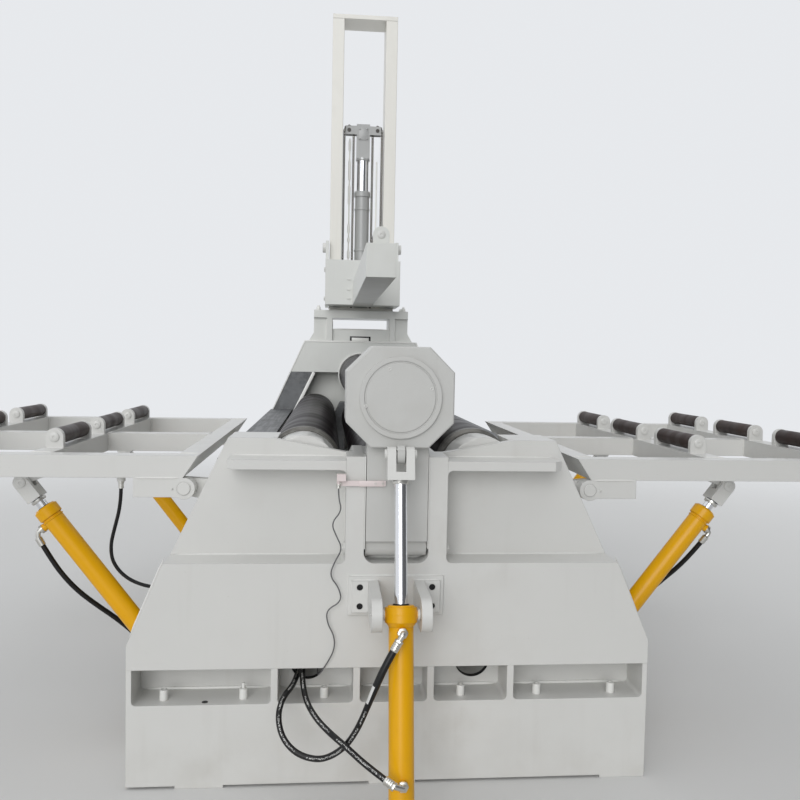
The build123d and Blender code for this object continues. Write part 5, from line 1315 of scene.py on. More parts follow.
@dataclass
class DropHead:
    """Details of the tilting head, its limit switch and the clevis."""

    cover_marks: Pairs = ((-0.043, 1.594), (-0.128, 1.458), (0.113, 1.524))
    stem_half: float = 0.117
    knuckle_half: float = 0.107
    stem_foot: float = 1.345
    knuckle_top: float = 1.308
    tongue_half: float = 0.014
    switch: Pair = (-0.222, -2.056)
    switch_bar: Pair = (-2.047, 1.163)
    bar_screws: Point = (-0.215, -0.0845, -0.0565)

    def _cover(self) -> None:
        """Add the cover's recessed screws."""
        work = Workpiece()
        work.put(turned([(0, 0.0), (0, 0.0075), (0.0014, 0.007), (0.0014, 0.004), (0.0002, 0.003),
                         (0.0002, 0.0)], 16),
                 *[aim((x, COVER_FACE, z), TO_VIEWER) for x, z in self.cover_marks])
        work.finish("cover_screws", Body.HEAD, NUT_PAINT)

    def _seams(self) -> None:
        """Lay the head's weld seams."""
        dice = random.Random(23)
        work = Workpiece()
        stem, knuckle, tongue = self.stem_half, self.knuckle_half, self.tongue_half
        Seam(0.004, ((-stem, STEM_FACE, self.stem_foot), (-knuckle, STEM_FACE, self.knuckle_top),
                     (knuckle, STEM_FACE, self.knuckle_top),
                     (stem, STEM_FACE, self.stem_foot))).lay(work, dice)
        sides = (Seam(0.0035, ((tongue, -2.105, 1.3035), (tongue, -2.165, 1.3035))),
                 upright_seam(0.0035, tongue, STEM_FACE, 1.25, 1.303),
                 upright_seam(0.004, stem, -1.95, 0.95, 1.28))
        for _, side in SIDES:
            for seam in sides:
                seam.lay(work, dice, side)
        work.finish("head_seams", Body.HEAD, WELD_PAINT)

    def _switch(self) -> None:
        """Add the switch's gland, lamp lens and screws and the bar's clamp."""
        work = Workpiece()
        y, z = self.switch_bar
        work.put(nut(0.017, 0.006), aim((*self.switch, 1.1555), UP))
        work.put(turned([(0, 0), (0, 0.0075), (0.008, 0.0068), (0.01, 0.004), (0.01, 0)], 12),
                 aim((*self.switch, 1.1465), UP))
        work.put(cap_screw(0.009, 0.004), *[aim((x, y, z), TO_VIEWER) for x in self.bar_screws])
        work.finish("switch_hardware", Body.HEAD, PLATED)
        clamp = Workpiece()
        clamp.put(slab((0.09, 0.022, 0.0025), 0.0008), aim((-0.1, y - 0.0005, z), TO_VIEWER))
        clamp.finish("switch_bar_clamp", Body.HEAD, SWITCH)

    def _clevis(self) -> None:
        """Add the clevis pin's collars and the rod's lock nut."""
        work = Workpiece()
        _, y, z = DROP_PIN
        for _, side in SIDES:
            work.put(turned([(0, 0), (0, 0.018), (0.007, 0.0185), (0.009, 0.017), (0.009, 0)]),
                     aim((side * 0.0495, y, z), (side, 0, 0)))
        work.finish("clevis_pin_collars", Body.ROD, NUT_PAINT)
        axis = Vector(DROP_AXIS)
        lock = Workpiece()
        lock.put(nut(0.062, 0.012), aim(Vector(CLEVIS_LINE) - axis * 0.0125, axis, 12))
        lock.finish("rod_lock_nut", Body.ROD, PLATED)

    def build(self) -> None:
        """Add every part."""
        self._cover()
        self._seams()
        self._switch()
        self._clevis()


@dataclass
class DropCylinder:
    """Details of the drop cylinder's barrel."""

    bottom: float = 0.646
    barrel: float = 0.044
    collar_foot: float = 0.026
    gland: float = 0.0255
    trunnion_ends: Pair = (0.057, 0.0965)

    def _trim(self, foot: Vector, axis: Vector) -> None:
        """Add the gland ring, the collar's fillet and seam, the welded foot ring and its cap.

        Args:
            foot: the middle of the trunnion.
            axis: the barrel's direction, upwards.
        """
        rim = self.barrel
        work = Workpiece()
        work.put(turned([(0, 0.0245), (0.004, 0.0245), (0.007, 0.03), (0.007, 0.045), (0.0, 0.05),
                         (-0.002, 0.05)], 36), aim(foot + axis * self.gland, axis))
        work.put(turned([(0, 0.057), (0.004, 0.0578), (0.008, 0.057)], 40), aim(foot, axis))
        work.put(turned([(0, 0.0435), (-0.006, 0.0435), (-0.016, rim), (0.0, 0.054)], 40),
                 aim(foot - axis * self.collar_foot, axis))
        work.put(turned([(0, rim), (0.003, 0.0475), (0.006, rim)], 40),
                 aim(foot - axis * (self.bottom - 0.03), axis))
        work.put(turned([(0, 0), (0, 0.036), (-0.004, 0.034), (-0.006, 0.03), (-0.006, 0)], 30),
                 aim(foot - axis * self.bottom, axis))
        work.finish("drop_barrel_trim", Body.BARREL, AMBER_PAINT)

    def build(self) -> None:
        """Add the trim, the rod's wiper and the trunnion's caps and nipples."""
        foot = Vector(TRUNNION)
        axis = (Vector(DROP_PIN) - foot).normalized()
        self._trim(foot, axis)
        wiper = Workpiece()
        wiper.put(turned([(0, 0.0238), (0.004, 0.0242), (0.005, 0.0285), (0, 0.03)], 30),
                  aim(foot + axis * 0.032, axis))
        wiper.finish("drop_rod_wiper", Body.BARREL, BLACK_STEEL_AND_SHADE)
        caps = Workpiece()
        inner, outer = self.trunnion_ends
        ring = [(0, 0.017), (0.002, 0.02), (0.009, 0.02), (0.01, 0.018), (0.01, 0.016)]
        for _, side in SIDES:
            way = (side, 0, 0)
            caps.put(nipple(0.005), aim((side * outer, *TRUNNION[1:]), way))
            caps.put(turned(ring, 24), aim((side * inner, *TRUNNION[1:]), way))
        caps.finish("trunnion_caps", Body.BARREL, NUT_PAINT)


@dataclass
class RollStand:
    """The side housings, and rings and bolts of the roll housings and of the top roll's drive."""

    housing_lean: float = math.radians(25.45)
    housing_radius: float = 0.1453
    housing_facets: tuple[float, ...] = (22.5, -22.5, 67.5, -67.5, 11.25, -11.25, 33.75, -33.75,
                                         56.25, -56.25, 78.75, -78.75)
    cover_bolts: int = 8
    cover_circle: float = 0.104
    drive_face: float = 2.03
    drive_bolts: tuple[tuple[int, float, float, float], ...] = (
        (16, 0.198, 0.024, 0.05), (12, 0.165, 0.018, 0.29), (8, 0.125, 0.016, 0.44),
        (6, 0.075, 0.014, 0.64))
    drive_ribs: Pairs = ((0.1, 0.18), (0.17, 0.18), (0.24, 0.18), (0.36, 0.15))
    motor_ports: Pair = (60, 120)

    def _main_ring(self) -> None:
        """Add the bright ring round the top roll at the drive end."""
        ring = Workpiece()
        ring.put(turned([(0, 0.173), (0.012, 0.1735), (0.012, 0.179), (0.008, 0.182), (0, 0.182)],
                        64), aim((0, INNER_FACE, TOP_ROLL_HEIGHT), TO_VIEWER))
        ring.finish("main_bearing_ring", Body.FRAME, PALE_PAINT_AND_HIGHLIGHT)

    def _round_housings(self) -> None:
        """Stand copies with rounded tops in for the housings of the side rolls."""
        for name, side in SIDES:
            node = name + "_roll_housings"
            shape = bmesh.new()
            shape.from_mesh(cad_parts[node].data)
            bmesh.ops.remove_doubles(shape, verts=shape.verts, dist=SAME_PLACE)
            centre = Vector((side * SIDE_ROLL[0], 0, SIDE_ROLL[1]))
            for step in self.housing_facets:
                angle = -side * self.housing_lean + math.radians(step)
                way = Vector((math.sin(angle), 0, math.cos(angle)))
                cut = bmesh.ops.bisect_plane(
                    shape, geom=shape.verts[:] + shape.edges[:] + shape.faces[:], dist=SAME_PLACE,
                    plane_co=centre + way * self.housing_radius, plane_no=way, clear_outer=True)
                loop = [part for part in cut["geom_cut"] if isinstance(part, bmesh.types.BMEdge)]
                bmesh.ops.holes_fill(shape, edges=loop, sides=0)
            work = Workpiece()
            work.put(shape, Matrix.Identity(4))
            work.finish(name + "_rounded_housings", name + "_housings", PAINT, node)

    def _cover(self, work: Workpiece, centre: Vector, way: Vector, side: int) -> None:
        """Add one cover ring with its bolts.

        Args:
            work: the piece that takes them.
            centre: the middle of the housing's inner face.
            way: where that face looks.
            side: -1 on the left and 1 on the right.
        """
        lean = self.housing_lean
        work.put(turned([(0, 0.086), (0.0045, 0.088), (0.0045, 0.118), (0.003, 0.12), (0, 0.12)],
                        40), aim(centre, way))
        up = Vector((-side * math.sin(lean), 0, math.cos(lean)))
        across = Vector((math.cos(lean), 0, side * math.sin(lean)))
        for turn in range(self.cover_bolts):
            angle = math.tau * turn / self.cover_bolts
            offset = up * self.cover_circle * math.cos(angle)
            offset += across * self.cover_circle * math.sin(angle)
            work.put(nut(0.013, 0.003), aim(centre + offset + way * 0.002, way, turn * 17))

    def _housing_covers(self) -> None:
        """Add the cover rings and bolts on the inner faces of the side housings."""
        for name, side in SIDES:
            work = Workpiece()
            for end in (-1, 1):
                centre = Vector((side * SIDE_ROLL[0], end * HOUSING_FACE, SIDE_ROLL[1]))
                self._cover(work, centre, Vector((0, -end, 0)), side)
            work.finish(name + "_housing_covers", name + "_housings", NUT_PAINT)

    def _drive(self) -> None:
        """Add bolts, ribs and ports to the gear and motor."""
        work = Workpiece()
        for count, radius, size, at in self.drive_bolts:
            for place in range(count):
                x, z = on_circle(radius, math.tau * (place + 0.5) / count)
                spot = (x, self.drive_face + at - 0.001, TOP_ROLL_HEIGHT + z)
                work.put(nut(size, size * 0.5), aim(spot, TO_DRIVE, place * 23))
        for at, radius in self.drive_ribs:
            work.put(band(radius - 0.001, radius + 0.006, 0.002, 0.014, 48),
                     aim((0, self.drive_face + at, TOP_ROLL_HEIGHT), TO_DRIVE))
        for angle in self.motor_ports:
            x, z = on_circle(1.0, math.radians(angle))
            way = Vector((x, 0, z))
            spot = Vector((0, self.drive_face + 0.56, TOP_ROLL_HEIGHT)) + way * 0.092
            work.put(nut(0.044, 0.026), aim(spot, way))
        work.finish("drive_bolts_and_ribs", Body.FRAME, GREY)

    def build(self) -> None:
        """Add every part."""
        self._main_ring()
        self._round_housings()
        self._housing_covers()
        self._drive()


@dataclass
class FarFrame:
    """Seams and hardware of the drive end frame and its platform."""

    window_foot: Pair = (0.683, 0.87)
    window_top: Pair = (0.379, 1.507)
    outer_foot: Pair = (0.857, 0.87)
    outer_top: Pair = (0.455, 1.762)
    edge_widths: Pair = (0.026, 0.008)
    slot_span: Pair = (-0.089, 0.081)
    side_seams: tuple[Seam, ...] = (
        upright_seam(0.006, 0.235, 1.665, 1.765, 1.95),
        upright_seam(0.006, 0.28, 1.665, 1.77, 1.95),
        Seam(0.005, ((0.23, 1.64, 1.767), (0.385, 1.664, 1.767))),
        cross_seam(0.006, 0.17, 0.265, 1.715, 2.046),
        Seam(0.006, ((0.265, 1.715, 2.046), (0.265, 1.96, 2.046))),
        Seam(0.005, ((0.17, 1.716, 4.39), (0.17, 1.958, 4.39))))
    middle_seams: tuple[Seam, ...] = (
        cross_seam(0.006, -0.46, 0.46, 1.635, 1.766),
        cross_seam(0.005, -0.235, 0.235, 1.665, 1.866),
        cross_seam(0.006, -0.265, 0.265, 1.715, PLATFORM_TOP))
    bolt_places: Pairs = ((-0.35, 1.68), (-0.35, 1.95), (0.35, 1.68), (0.35, 1.95))
    washer: float = 0.004

    def _seams(self) -> None:
        """Lay the seams of the frame, the platform and the mast."""
        dice = random.Random(37)
        work = Workpiece()
        for _, side in SIDES:
            for seam in self.side_seams:
                seam.lay(work, dice, side)
        for seam in self.middle_seams:
            seam.lay(work, dice)
        work.finish("drive_end_seams", Body.FRAME, WELD_PAINT)

    def _bolts(self) -> None:
        """Add the bolts at the platform's corners."""
        bolts = Workpiece()
        top = PLATFORM_TOP + self.washer
        bolts.put(turned([(0, 0), (0, 0.024), (self.washer, 0.024), (self.washer, 0)], 20),
                  *[aim((x, y, PLATFORM_TOP), UP) for x, y in self.bolt_places])
        bolts.put(nut(0.036, 0.022), *[aim((x, y, top), UP, x * 900) for x, y in self.bolt_places])
        bolts.put(disc(0.01, 0.034, 0.002, 12),
                  *[aim((x, y, top), UP) for x, y in self.bolt_places])
        bolts.finish("platform_bolts", Body.FRAME, PALE_PAINT_AND_HIGHLIGHT)

    def _edges(self) -> None:
        """Add the bright strips along the opening's and the frame's sloping edges: painted
        highlight where those edges catch the light.
        """
        work = Workpiece()
        window, outer = self.edge_widths
        for _, side in SIDES:
            for low, high, width in ((self.window_foot, self.window_top, window),
                                     (self.outer_foot, self.outer_top, outer)):
                foot = Vector((side * low[0], INNER_FACE, low[1]))
                way = Vector((side * high[0], INNER_FACE, high[1])) - foot
                lean = Matrix.Rotation(math.atan2(way.x, way.z), 4, "Y")
                work.put(slab((width, 0.008, way.length), 0.0025), Matrix.Translation(foot) @ lean)
        work.put(slab((2 * self.outer_top[0], 0.008, 0.008)),
                 aim((0, INNER_FACE, self.outer_top[1] - 0.006), UP))
        work.finish("drive_end_edge_highlights", Body.FRAME, PALE_PAINT_AND_HIGHLIGHT)

    def _sight_slot(self) -> None:
        """Add the dark-framed slot with its pale cover on the platform's front."""
        low, high = self.slot_span
        middle, width = (low + high) / 2, high - low
        rim = Workpiece()
        rim.put(slab((width, 0.005, 0.04), 0.001), aim((middle, 1.6655, 1.768), UP))
        rim.finish("sight_slot_rim", Body.FRAME, BLACK_STEEL_AND_SHADE)
        cover = Workpiece()
        cover.put(slab((width - 0.03, 0.008, 0.03), 0.001), aim((middle, 1.6635, 1.767), UP))
        cover.finish("sight_slot_cover", Body.FRAME, PALE_PAINT_AND_HIGHLIGHT)

    def build(self) -> None:
        """Add every part."""
        self._seams()
        self._bolts()
        self._edges()
        self._sight_slot()


@dataclass
class MastChains:
    """The two chains over the plunger's sprockets, made of plates, rollers and pins."""

    pitch: float = 0.0254
    plate_height: float = 0.02
    plate_thickness: float = 0.003
    depth: float = 0.026
    crown_radius: float = 0.039
    crown_links: int = 4
    pin_radius: float = 0.0042
    roller: Pair = (0.0045, 0.0055)
    fixed_foot: float = 2.06
    hung_foot: float = 2.42
    hung_anchor: float = 2.405
    teeth: int = 9
    tooth: Pairs = ((0.0, 0.0255), (0.25, 0.0255), (0.42, 0.0292), (0.58, 0.0292), (0.83, 0.0255))
    rod_foot: float = 2.044
    rod_radius: float = 0.005
    rod_sleeves: tuple[tuple[float, float, Pairs], ...] = (
        (-0.11, 0.011, ((2.468, 2.526), (2.601, 2.635), (2.676, 2.743), (2.917, 3.065),
                        (3.115, 3.272), (3.354, 3.436))),
        (0.116, 0.0065, ((3.05, 3.25),)))

    def _link(self, wide: bool) -> Shape:
        """Return one link along Z, centred on its lower pin.

        Args:
            wide: whether its plates are the outer ones.

        Returns:
            The shape.
        """
        half, pitch = self.plate_height / 2, self.pitch
        gap = self.depth / 2 - 0.0035 if wide else self.depth / 2 - 0.008
        outline = [(-half, 0.0), (-half * 0.6, -half * 0.8), (half * 0.6, -half * 0.8), (half, 0.0),
                   (half * 0.72, pitch / 2), (half, pitch), (half * 0.6, pitch + half * 0.8),
                   (-half * 0.6, pitch + half * 0.8), (-half, pitch), (-half * 0.72, pitch / 2)]
        work = Workpiece()
        stand = Matrix.Rotation(math.radians(90), 4, "X")
        for sign in (-1, 1):
            place = Matrix.Translation((0, sign * gap + self.plate_thickness / 2, 0))
            work.put(plate(outline, self.plate_thickness), place @ stand)
        if not wide:
            reach, radius = self.roller
            for height in (0.0, pitch):
                work.put(turned([(-reach, 0.0), (-reach, radius), (reach, radius), (reach, 0.0)],
                                10), aim((0, 0, height), TO_DRIVE))
        return work.mesh

    def _strand(self, links: Workpiece, pins: Workpiece, x: float, low: float) -> None:
        """Add one straight strand up to the sprockets' height.

        Args:
            links: the piece that takes its links.
            pins: the piece that takes its pins.
            x: its place across the machine.
            low: its lower end.
        """
        count = max(2, round((SPROCKET_HEIGHT - low) / self.pitch))
        step = (SPROCKET_HEIGHT - low) / count
        scale = Matrix.Diagonal((1, 1, step / self.pitch, 1))
        for wide in (False, True):
            places = [Matrix.Translation((x, MAST_AXIS, low + place * step)) @ scale
                      for place in range(count) if place % 2 == wide]
            links.put(self._link(wide), *places)
        half, radius, chamfer = self.depth / 2 + 0.001, self.pin_radius, 0.001
        pin = turned([(-half, 0), (-half, radius * 0.8), (chamfer - half, radius),
                      (half - chamfer, radius), (half, radius * 0.8), (half, 0)], 8)
        pins.put(pin, *[aim((x, MAST_AXIS, low + place * step), TO_DRIVE)
                        for place in range(1, count + 1)])

    def _crown(self, work: Workpiece, centre: float) -> None:
        """Add the links over one sprocket.

        Args:
            work: the piece that takes them.
            centre: the sprocket's place across the machine.
        """
        step = math.pi / self.crown_links
        chord = 2 * self.crown_radius * math.sin(step / 2)
        spot = Matrix.Translation((centre, MAST_AXIS, SPROCKET_HEIGHT))
        reach = Matrix.Translation((self.crown_radius, 0, 0))
        lean = Matrix.Rotation(-step / 2, 4, "Y")
        stretch = Matrix.Diagonal((1, 1, chord / self.pitch, 1))
        for place in range(self.crown_links):
            turn = Matrix.Rotation(-step * place, 4, "Y")
            work.put(self._link(place % 2 == 1), spot @ turn @ reach @ lean @ stretch)

    def _sprocket(self) -> Shape:
        """Return one toothed sprocket disc about Z."""
        outline = [on_circle(radius, math.tau * (tooth + share) / self.teeth)
                   for tooth in range(self.teeth) for share, radius in self.tooth]
        return plate(outline, 0.008)

    def _anchor_rods(self) -> None:
        """Add the rods between the strands, with their white sleeves."""
        rods, sleeves = Workpiece(), Workpiece()
        bore = self.rod_radius - 0.001
        for x, radius, spans in self.rod_sleeves:
            reach = spans[-1][1] + 0.02 - self.rod_foot
            rods.put(turned([(0, 0), (0, self.rod_radius), (reach, self.rod_radius), (reach, 0)],
                            10), aim((x, MAST_AXIS, self.rod_foot), UP))
            for low, high in spans:
                sleeves.put(turned([(0, bore), (0, radius), (high - low, radius),
                                    (high - low, bore)], 12), aim((x, MAST_AXIS, low), UP))
        rods.finish("chain_anchor_rods", Body.FRAME, PLATED)
        sleeves.finish("chain_anchor_sleeves", Body.FRAME, PALE_PAINT_AND_HIGHLIGHT)

    def build(self) -> None:
        """Add both strands of both chains, the links over the sprockets and the anchor rods."""
        fixed, fixed_pins, hung, hung_pins, crown, discs = (Workpiece() for _ in range(6))
        for _, side in SIDES:
            x = side * SPROCKET_OFFSET
            self._strand(fixed, fixed_pins, side * (SPROCKET_OFFSET - self.crown_radius),
                         self.fixed_foot)
            self._strand(hung, hung_pins, side * (SPROCKET_OFFSET + self.crown_radius),
                         self.hung_foot)
            self._crown(crown, x)
            discs.put(self._sprocket(), aim((x, MAST_AXIS - 0.004, SPROCKET_HEIGHT), TO_DRIVE))
            discs.put(turned([(0, 0), (0, 0.016), (0.006, 0.015), (0.006, 0)], 16),
                      aim((x, MAST_AXIS - 0.032, SPROCKET_HEIGHT), TO_VIEWER))
        crown.finish("sprocket_links", Body.PLUNGER, CHAIN)
        discs.finish("sprocket_teeth", Body.PLUNGER, CHAIN)
        frame_end = (Body.FRAME, self.rod_foot)
        carriage_end = (Body.CARRIAGE, self.hung_anchor)
        # The pins are bare steel; their bright plated finish also stands in for the small
        # highlights on the links, a painted highlight.
        for work, name, finish, (body, low), replaced in (
                (fixed, "anchor_chain_links", CHAIN, frame_end, ("anchor_chains",)),
                (fixed_pins, "anchor_chain_pins", PLATED, frame_end, ()),
                (hung, "carriage_chain_links", CHAIN, carriage_end, ("carriage_chains",)),
                (hung_pins, "carriage_chain_pins", PLATED, carriage_end, ())):
            piece = work.finish(name, None, finish, *replaced)
            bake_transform(piece)
        self._anchor_rods()


@dataclass
class Mast:
    """The portal, and details of the lift cylinder, the carriage and the overhead arm."""

    marks: Point = (2.1, 2.17, 2.25)
    upright: Pair = (0.17, 0.265)
    upright_depth: Pair = (1.715, 1.96)
    foot_plate: float = 0.026
    crosspiece: float = 0.036
    cylinder_radius: float = 0.0585
    cylinder_bands: Point = (2.1, 2.52, 2.86)
    cheek: float = 0.297
    cheek_bolts: Pairs = ((1.72, 2.12), (1.86, 2.12), (1.72, 2.36), (1.86, 2.36))
    carriage_front: float = 1.439

    def _portal(self) -> None:
        """Build the portal: foot plate, two uprights, a thin crosspiece and a rear strip."""
        work = Workpiece()
        inner, outer = self.upright
        near, far = self.upright_depth
        depth, centre, full = far - near, (near + far) / 2, 2 * outer
        foot = PLATFORM_TOP + self.foot_plate
        top = MAST_TOP - self.crosspiece
        work.put(slab((full, depth, self.foot_plate), 0.003), aim((0, centre, PLATFORM_TOP), UP))
        work.put(slab((outer - inner, depth, top - foot), 0.004),
                 *[aim((side * (inner + outer) / 2, centre, foot), UP) for _, side in SIDES])
        work.put(slab((full, depth, self.crosspiece), 0.003), aim((0, centre, top), UP))
        work.put(slab((2 * inner, 0.006, 0.08), 0.001), aim((0, far - 0.005, foot), UP))
        work.finish("mast_uprights", Body.FRAME, MAST_PAINT, "mast_portal", flat=True)

    def _cylinder(self) -> None:
        """Add the lift cylinder's rings, gland and port."""
        work = Workpiece()
        radius = self.cylinder_radius
        for height in self.cylinder_bands:
            work.put(band(radius - 0.001, radius + 0.006, 0.003, 0.019, 40),
                     aim((0, MAST_AXIS, height), UP))
        work.put(turned([(0, 0.05), (0.006, 0.05), (0.009, 0.056), (0.009, 0.062), (0, 0.066)], 40),
                 aim((0, MAST_AXIS, 3.0095), UP))
        work.put(nut(0.04, 0.02), aim((0, MAST_AXIS - 0.057, 2.12), TO_VIEWER))
        work.finish("lift_cylinder_rings", Body.FRAME, GREY)

    def _head(self) -> None:
        """Add bolts, a cover plate and a collar to the plunger's head block."""
        work = Workpiece()
        face = MAST_AXIS - 0.032
        work.put(slab((0.08, 0.1, 0.005), 0.001), aim((0, face, 3.49), TO_VIEWER))
        work.put(nut(0.016, 0.006), *[aim((x, face - 0.005, z), TO_VIEWER, 20)
                                      for x in (-0.03, 0.03) for z in (3.45, 3.53)])
        work.put(band(0.049, 0.058, 0.004, 0.018, 36), aim((0, MAST_AXIS, 3.27), UP))
        work.finish("plunger_head_cover", Body.PLUNGER, GREY)

    def _carriage(self) -> None:
        """Add the bolts and bosses of the carriage's cheeks and the marks on its front."""
        work = Workpiece()
        for _, side in SIDES:
            way, cheek = (side, 0, 0), side * self.cheek
            for y, z in self.cheek_bolts:
                work.put(nut(0.026, 0.012), aim((cheek, y, z), way, y * 300))
            work.put(disc(0.04, 0.026, 0.003, 28), aim((cheek, 1.715, 2.53), way))
        work.put(slab((0.03, 0.008, 0.006), 0.0015),
                 *[aim((-0.109, self.carriage_front + 0.0015, z), TO_VIEWER) for z in self.marks])
        work.finish("carriage_bolts", Body.CARRIAGE, NUT_PAINT)

    def _seams(self) -> None:
        """Lay the seams of the carriage and of the arm's roller brackets."""
        dice = random.Random(53)
        seams = Workpiece()
        front = self.carriage_front
        sides = (upright_seam(0.006, 0.078, front, 2.056, 2.226),
                 Seam(0.005, ((0.272, 1.645, 2.405), (0.272, 1.7, 2.405))))
        for _, side in SIDES:
            for seam in sides:
                seam.lay(seams, dice, side)
        cross_seam(0.006, -0.074, 0.074, front, 2.228).lay(seams, dice)
        ARM_BRACKETS.weld(seams, dice, 0.0)
        seams.finish("carriage_seams", Body.CARRIAGE, WELD_PAINT)

    def _arm_caps(self) -> None:
        """Add the caps on the arm's roller pins."""
        work = Workpiece()
        ARM_BRACKETS.caps(work, 0.0)
        work.finish("arm_pin_caps", Body.CARRIAGE, NUT_PAINT)

    def build(self) -> None:
        """Add every part."""
        MastChains().build()
        self._portal()
        self._cylinder()
        self._head()
        self._carriage()
        self._seams()
        self._arm_caps()


@dataclass
class SideTable:
    """Hardware and seams of one side table and its two lift cylinders."""

    name: str
    side: int
    tongue_edges: Pair = (-0.014, 0.014)
    cross_beam: Pair = (-0.82, -0.73)
    rail_edges: tuple[float, ...] = (0.872, 1.38, 1.47, 2.005)
    inner_rail: Pair = (0.79, 0.872)
    rod_pin: float = 0.042
    foot_pin: float = 0.049
    gland: float = 0.145
    elbow: float = 0.207
    seams: Workpiece = field(default_factory=Workpiece)

    def _body(self, part: str) -> str:
        """Return the name of one of the side's bodies or pieces."""
        return f"{self.name}_{part}"

    def _pins(self) -> None:
        """Add the roller pins' caps and the seams of the brackets' feet."""
        work = Workpiece()
        dice = random.Random(70 + self.side)
        for row in TABLE_ROWS:
            TABLE_BRACKETS.caps(work, self.side * row)
            TABLE_BRACKETS.weld(self.seams, dice, self.side * row)
        work.finish(self._body("roller_pin_caps"), self._body("table"), NUT_PAINT)

    def _seam_lines(self) -> Iterable[Seam]:
        """Yield the seams of the frame of the right table."""
        half, low = TABLE_BEAM / 2, TABLE_BOTTOM + 0.004
        for y in (TABLE_NEAR + TABLE_BEAM, TABLE_FAR - TABLE_BEAM):
            for row in TABLE_ROWS:
                yield cross_seam(0.004, row - half, row + half, y, TABLE_TOP)
                for edge in (row - half, row + half):
                    yield upright_seam(0.004, edge, y, low, TABLE_TOP)
            yield cross_seam(0.004, *self.inner_rail, y, TABLE_TOP)
        near, far = self.cross_beam
        for edge in self.rail_edges:
            for y in (near, far):
                yield upright_seam(0.004, edge, y, low, TABLE_TOP)
            yield Seam(0.004, ((edge, near, TABLE_TOP), (edge, far, TABLE_TOP)))
        for y in (TABLE_NEAR, TABLE_FAR - TABLE_BEAM):
            yield cross_seam(0.005, 0.85, 1.04, y + 0.001, TABLE_BOTTOM)
        for y in CYLINDER_PLANES:
            for edge in self.tongue_edges:
                yield cross_seam(0.0035, 1.385, 1.57, y + edge, TABLE_BOTTOM)

    def _frame_seams(self) -> None:
        """Lay the seams where rails and cross beams meet, and close the tube ends."""
        dice = random.Random(90 + self.side)
        for seam in self._seam_lines():
            seam.lay(self.seams, dice, self.side)
        self.seams.finish(self._body("table_seams"), self._body("table"), WELD_PAINT)
        caps = Workpiece()
        half, outer = TABLE_BEAM / 2, self.side * (TABLE_ROWS[1] + TABLE_BEAM / 2)
        for y in (TABLE_NEAR + half, TABLE_FAR - half):
            caps.put(slab((0.082, 0.082, 0.003), 0.001),
                     aim((outer, y, (TABLE_TOP + TABLE_BOTTOM) / 2), (self.side, 0, 0)))
        caps.finish(self._body("tube_end_caps"), self._body("table"), NUT_PAINT)

    def _hinges(self) -> None:
        """Add the hinge pins' faces and the nipples beside them."""
        faces, nipples = Workpiece(), Workpiece()
        x, z = TABLE_HINGE
        for y in (TABLE_NEAR, TABLE_FAR - TABLE_BEAM):
            faces.put(turned([(0, 0), (0, 0.026), (0.003, 0.026), (0.005, 0.0245), (0.005, 0)]),
                      aim((self.side * x, y, z), TO_VIEWER))
            nipples.put(nipple(0.004), aim((self.side * 0.886, y, z - 0.001), TO_VIEWER))
        faces.finish(self._body("hinge_pin_faces"), Body.FRAME, NUT_PAINT)
        nipples.finish(self._body("hinge_nipples"), self._body("table"), NUT_PAINT)

    def _caps(self, work: Workpiece, radius: float, place: Sequence[float], reach: float) -> None:
        """Add the two caps of a cross pin.

        Args:
            work: the piece that takes them.
            radius: the caps' radius.
            place: the middle of the pin.
            reach: how far the caps are from it.
        """
        x, y, z = place
        for end, facing in ((-reach, TO_VIEWER), (reach, TO_DRIVE)):
            work.put(pin_cap(radius), aim((x, y + end, z), facing))

    def _barrel_trim(self, trim: Workpiece, wipers: Workpiece, y: float) -> None:
        """Add the gland, bands and wiper of one barrel.

        Args:
            trim: the piece that takes the amber parts.
            wipers: the piece that takes the wiper.
            y: the cylinder's plane.
        """
        way, head = table_way(self.side), TABLE_REACH - self.gland
        trim.put(turned([(0, 0.028), (0.006, 0.03), (0.008, 0.04), (0, 0.048)], 36),
                 aim(table_point(self.side, head, y), way))
        for back in (0.044, 0.056):
            trim.put(band(0.043, 0.0462, 0.002, 0.008, 36),
                     aim(table_point(self.side, head - back, y), way))
        trim.put(turned([(0, 0.042), (0.006, 0.0465), (0.014, 0.043)], 36),
                 aim(table_point(self.side, 0.055, y), way))
        wipers.put(turned([(0, 0.0222), (0.004, 0.0228), (0.006, 0.027), (0, 0.03)], 28),
                   aim(table_point(self.side, head + 0.005, y), way))

    def _cylinders(self) -> None:
        """Add trim to the two lift cylinders: pins, glands, bands and caps."""
        way, out = table_way(self.side), table_out(self.side)
        pins, bands, trim, wipers, feet = (Workpiece() for _ in range(5))
        collar = [(0, 0.022), (0, 0.03), (0.004, 0.032), (0.012, 0.032), (0.014, 0.028),
                  (0.014, 0.022)]
        foot_x, foot_z = TABLE_FOOT
        for y in CYLINDER_PLANES:
            self._caps(pins, 0.022, table_point(self.side, TABLE_REACH, y), self.rod_pin)
            bands.put(turned(collar, 28), aim(table_point(self.side, TABLE_REACH - 0.108, y), way))
            self._barrel_trim(trim, wipers, y)
            self._caps(feet, 0.024, (self.side * foot_x, y, foot_z), self.foot_pin)
        port = table_point(self.side, TABLE_REACH - self.elbow, CYLINDER_PLANES[1]) + out * 0.057
        bands.put(nut(0.026, 0.01), aim(port, out))
        pins.finish(self._body("cylinder_pin_caps"), self._body("rods"), NUT_PAINT)
        trim.finish(self._body("cylinder_trim"), self._body("barrels"), AMBER_PAINT)
        wipers.finish(self._body("rod_wipers"), self._body("barrels"), BLACK_STEEL_AND_SHADE)
        feet.finish(self._body("foot_pin_caps"), Body.FRAME, NUT_PAINT)
        bands.finish(self._body("rod_bands"), self._body("rods"), PLATED)

    def build(self) -> None:
        """Add every part."""
        self._pins()
        self._frame_seams()
        self._hinges()
        self._cylinders()


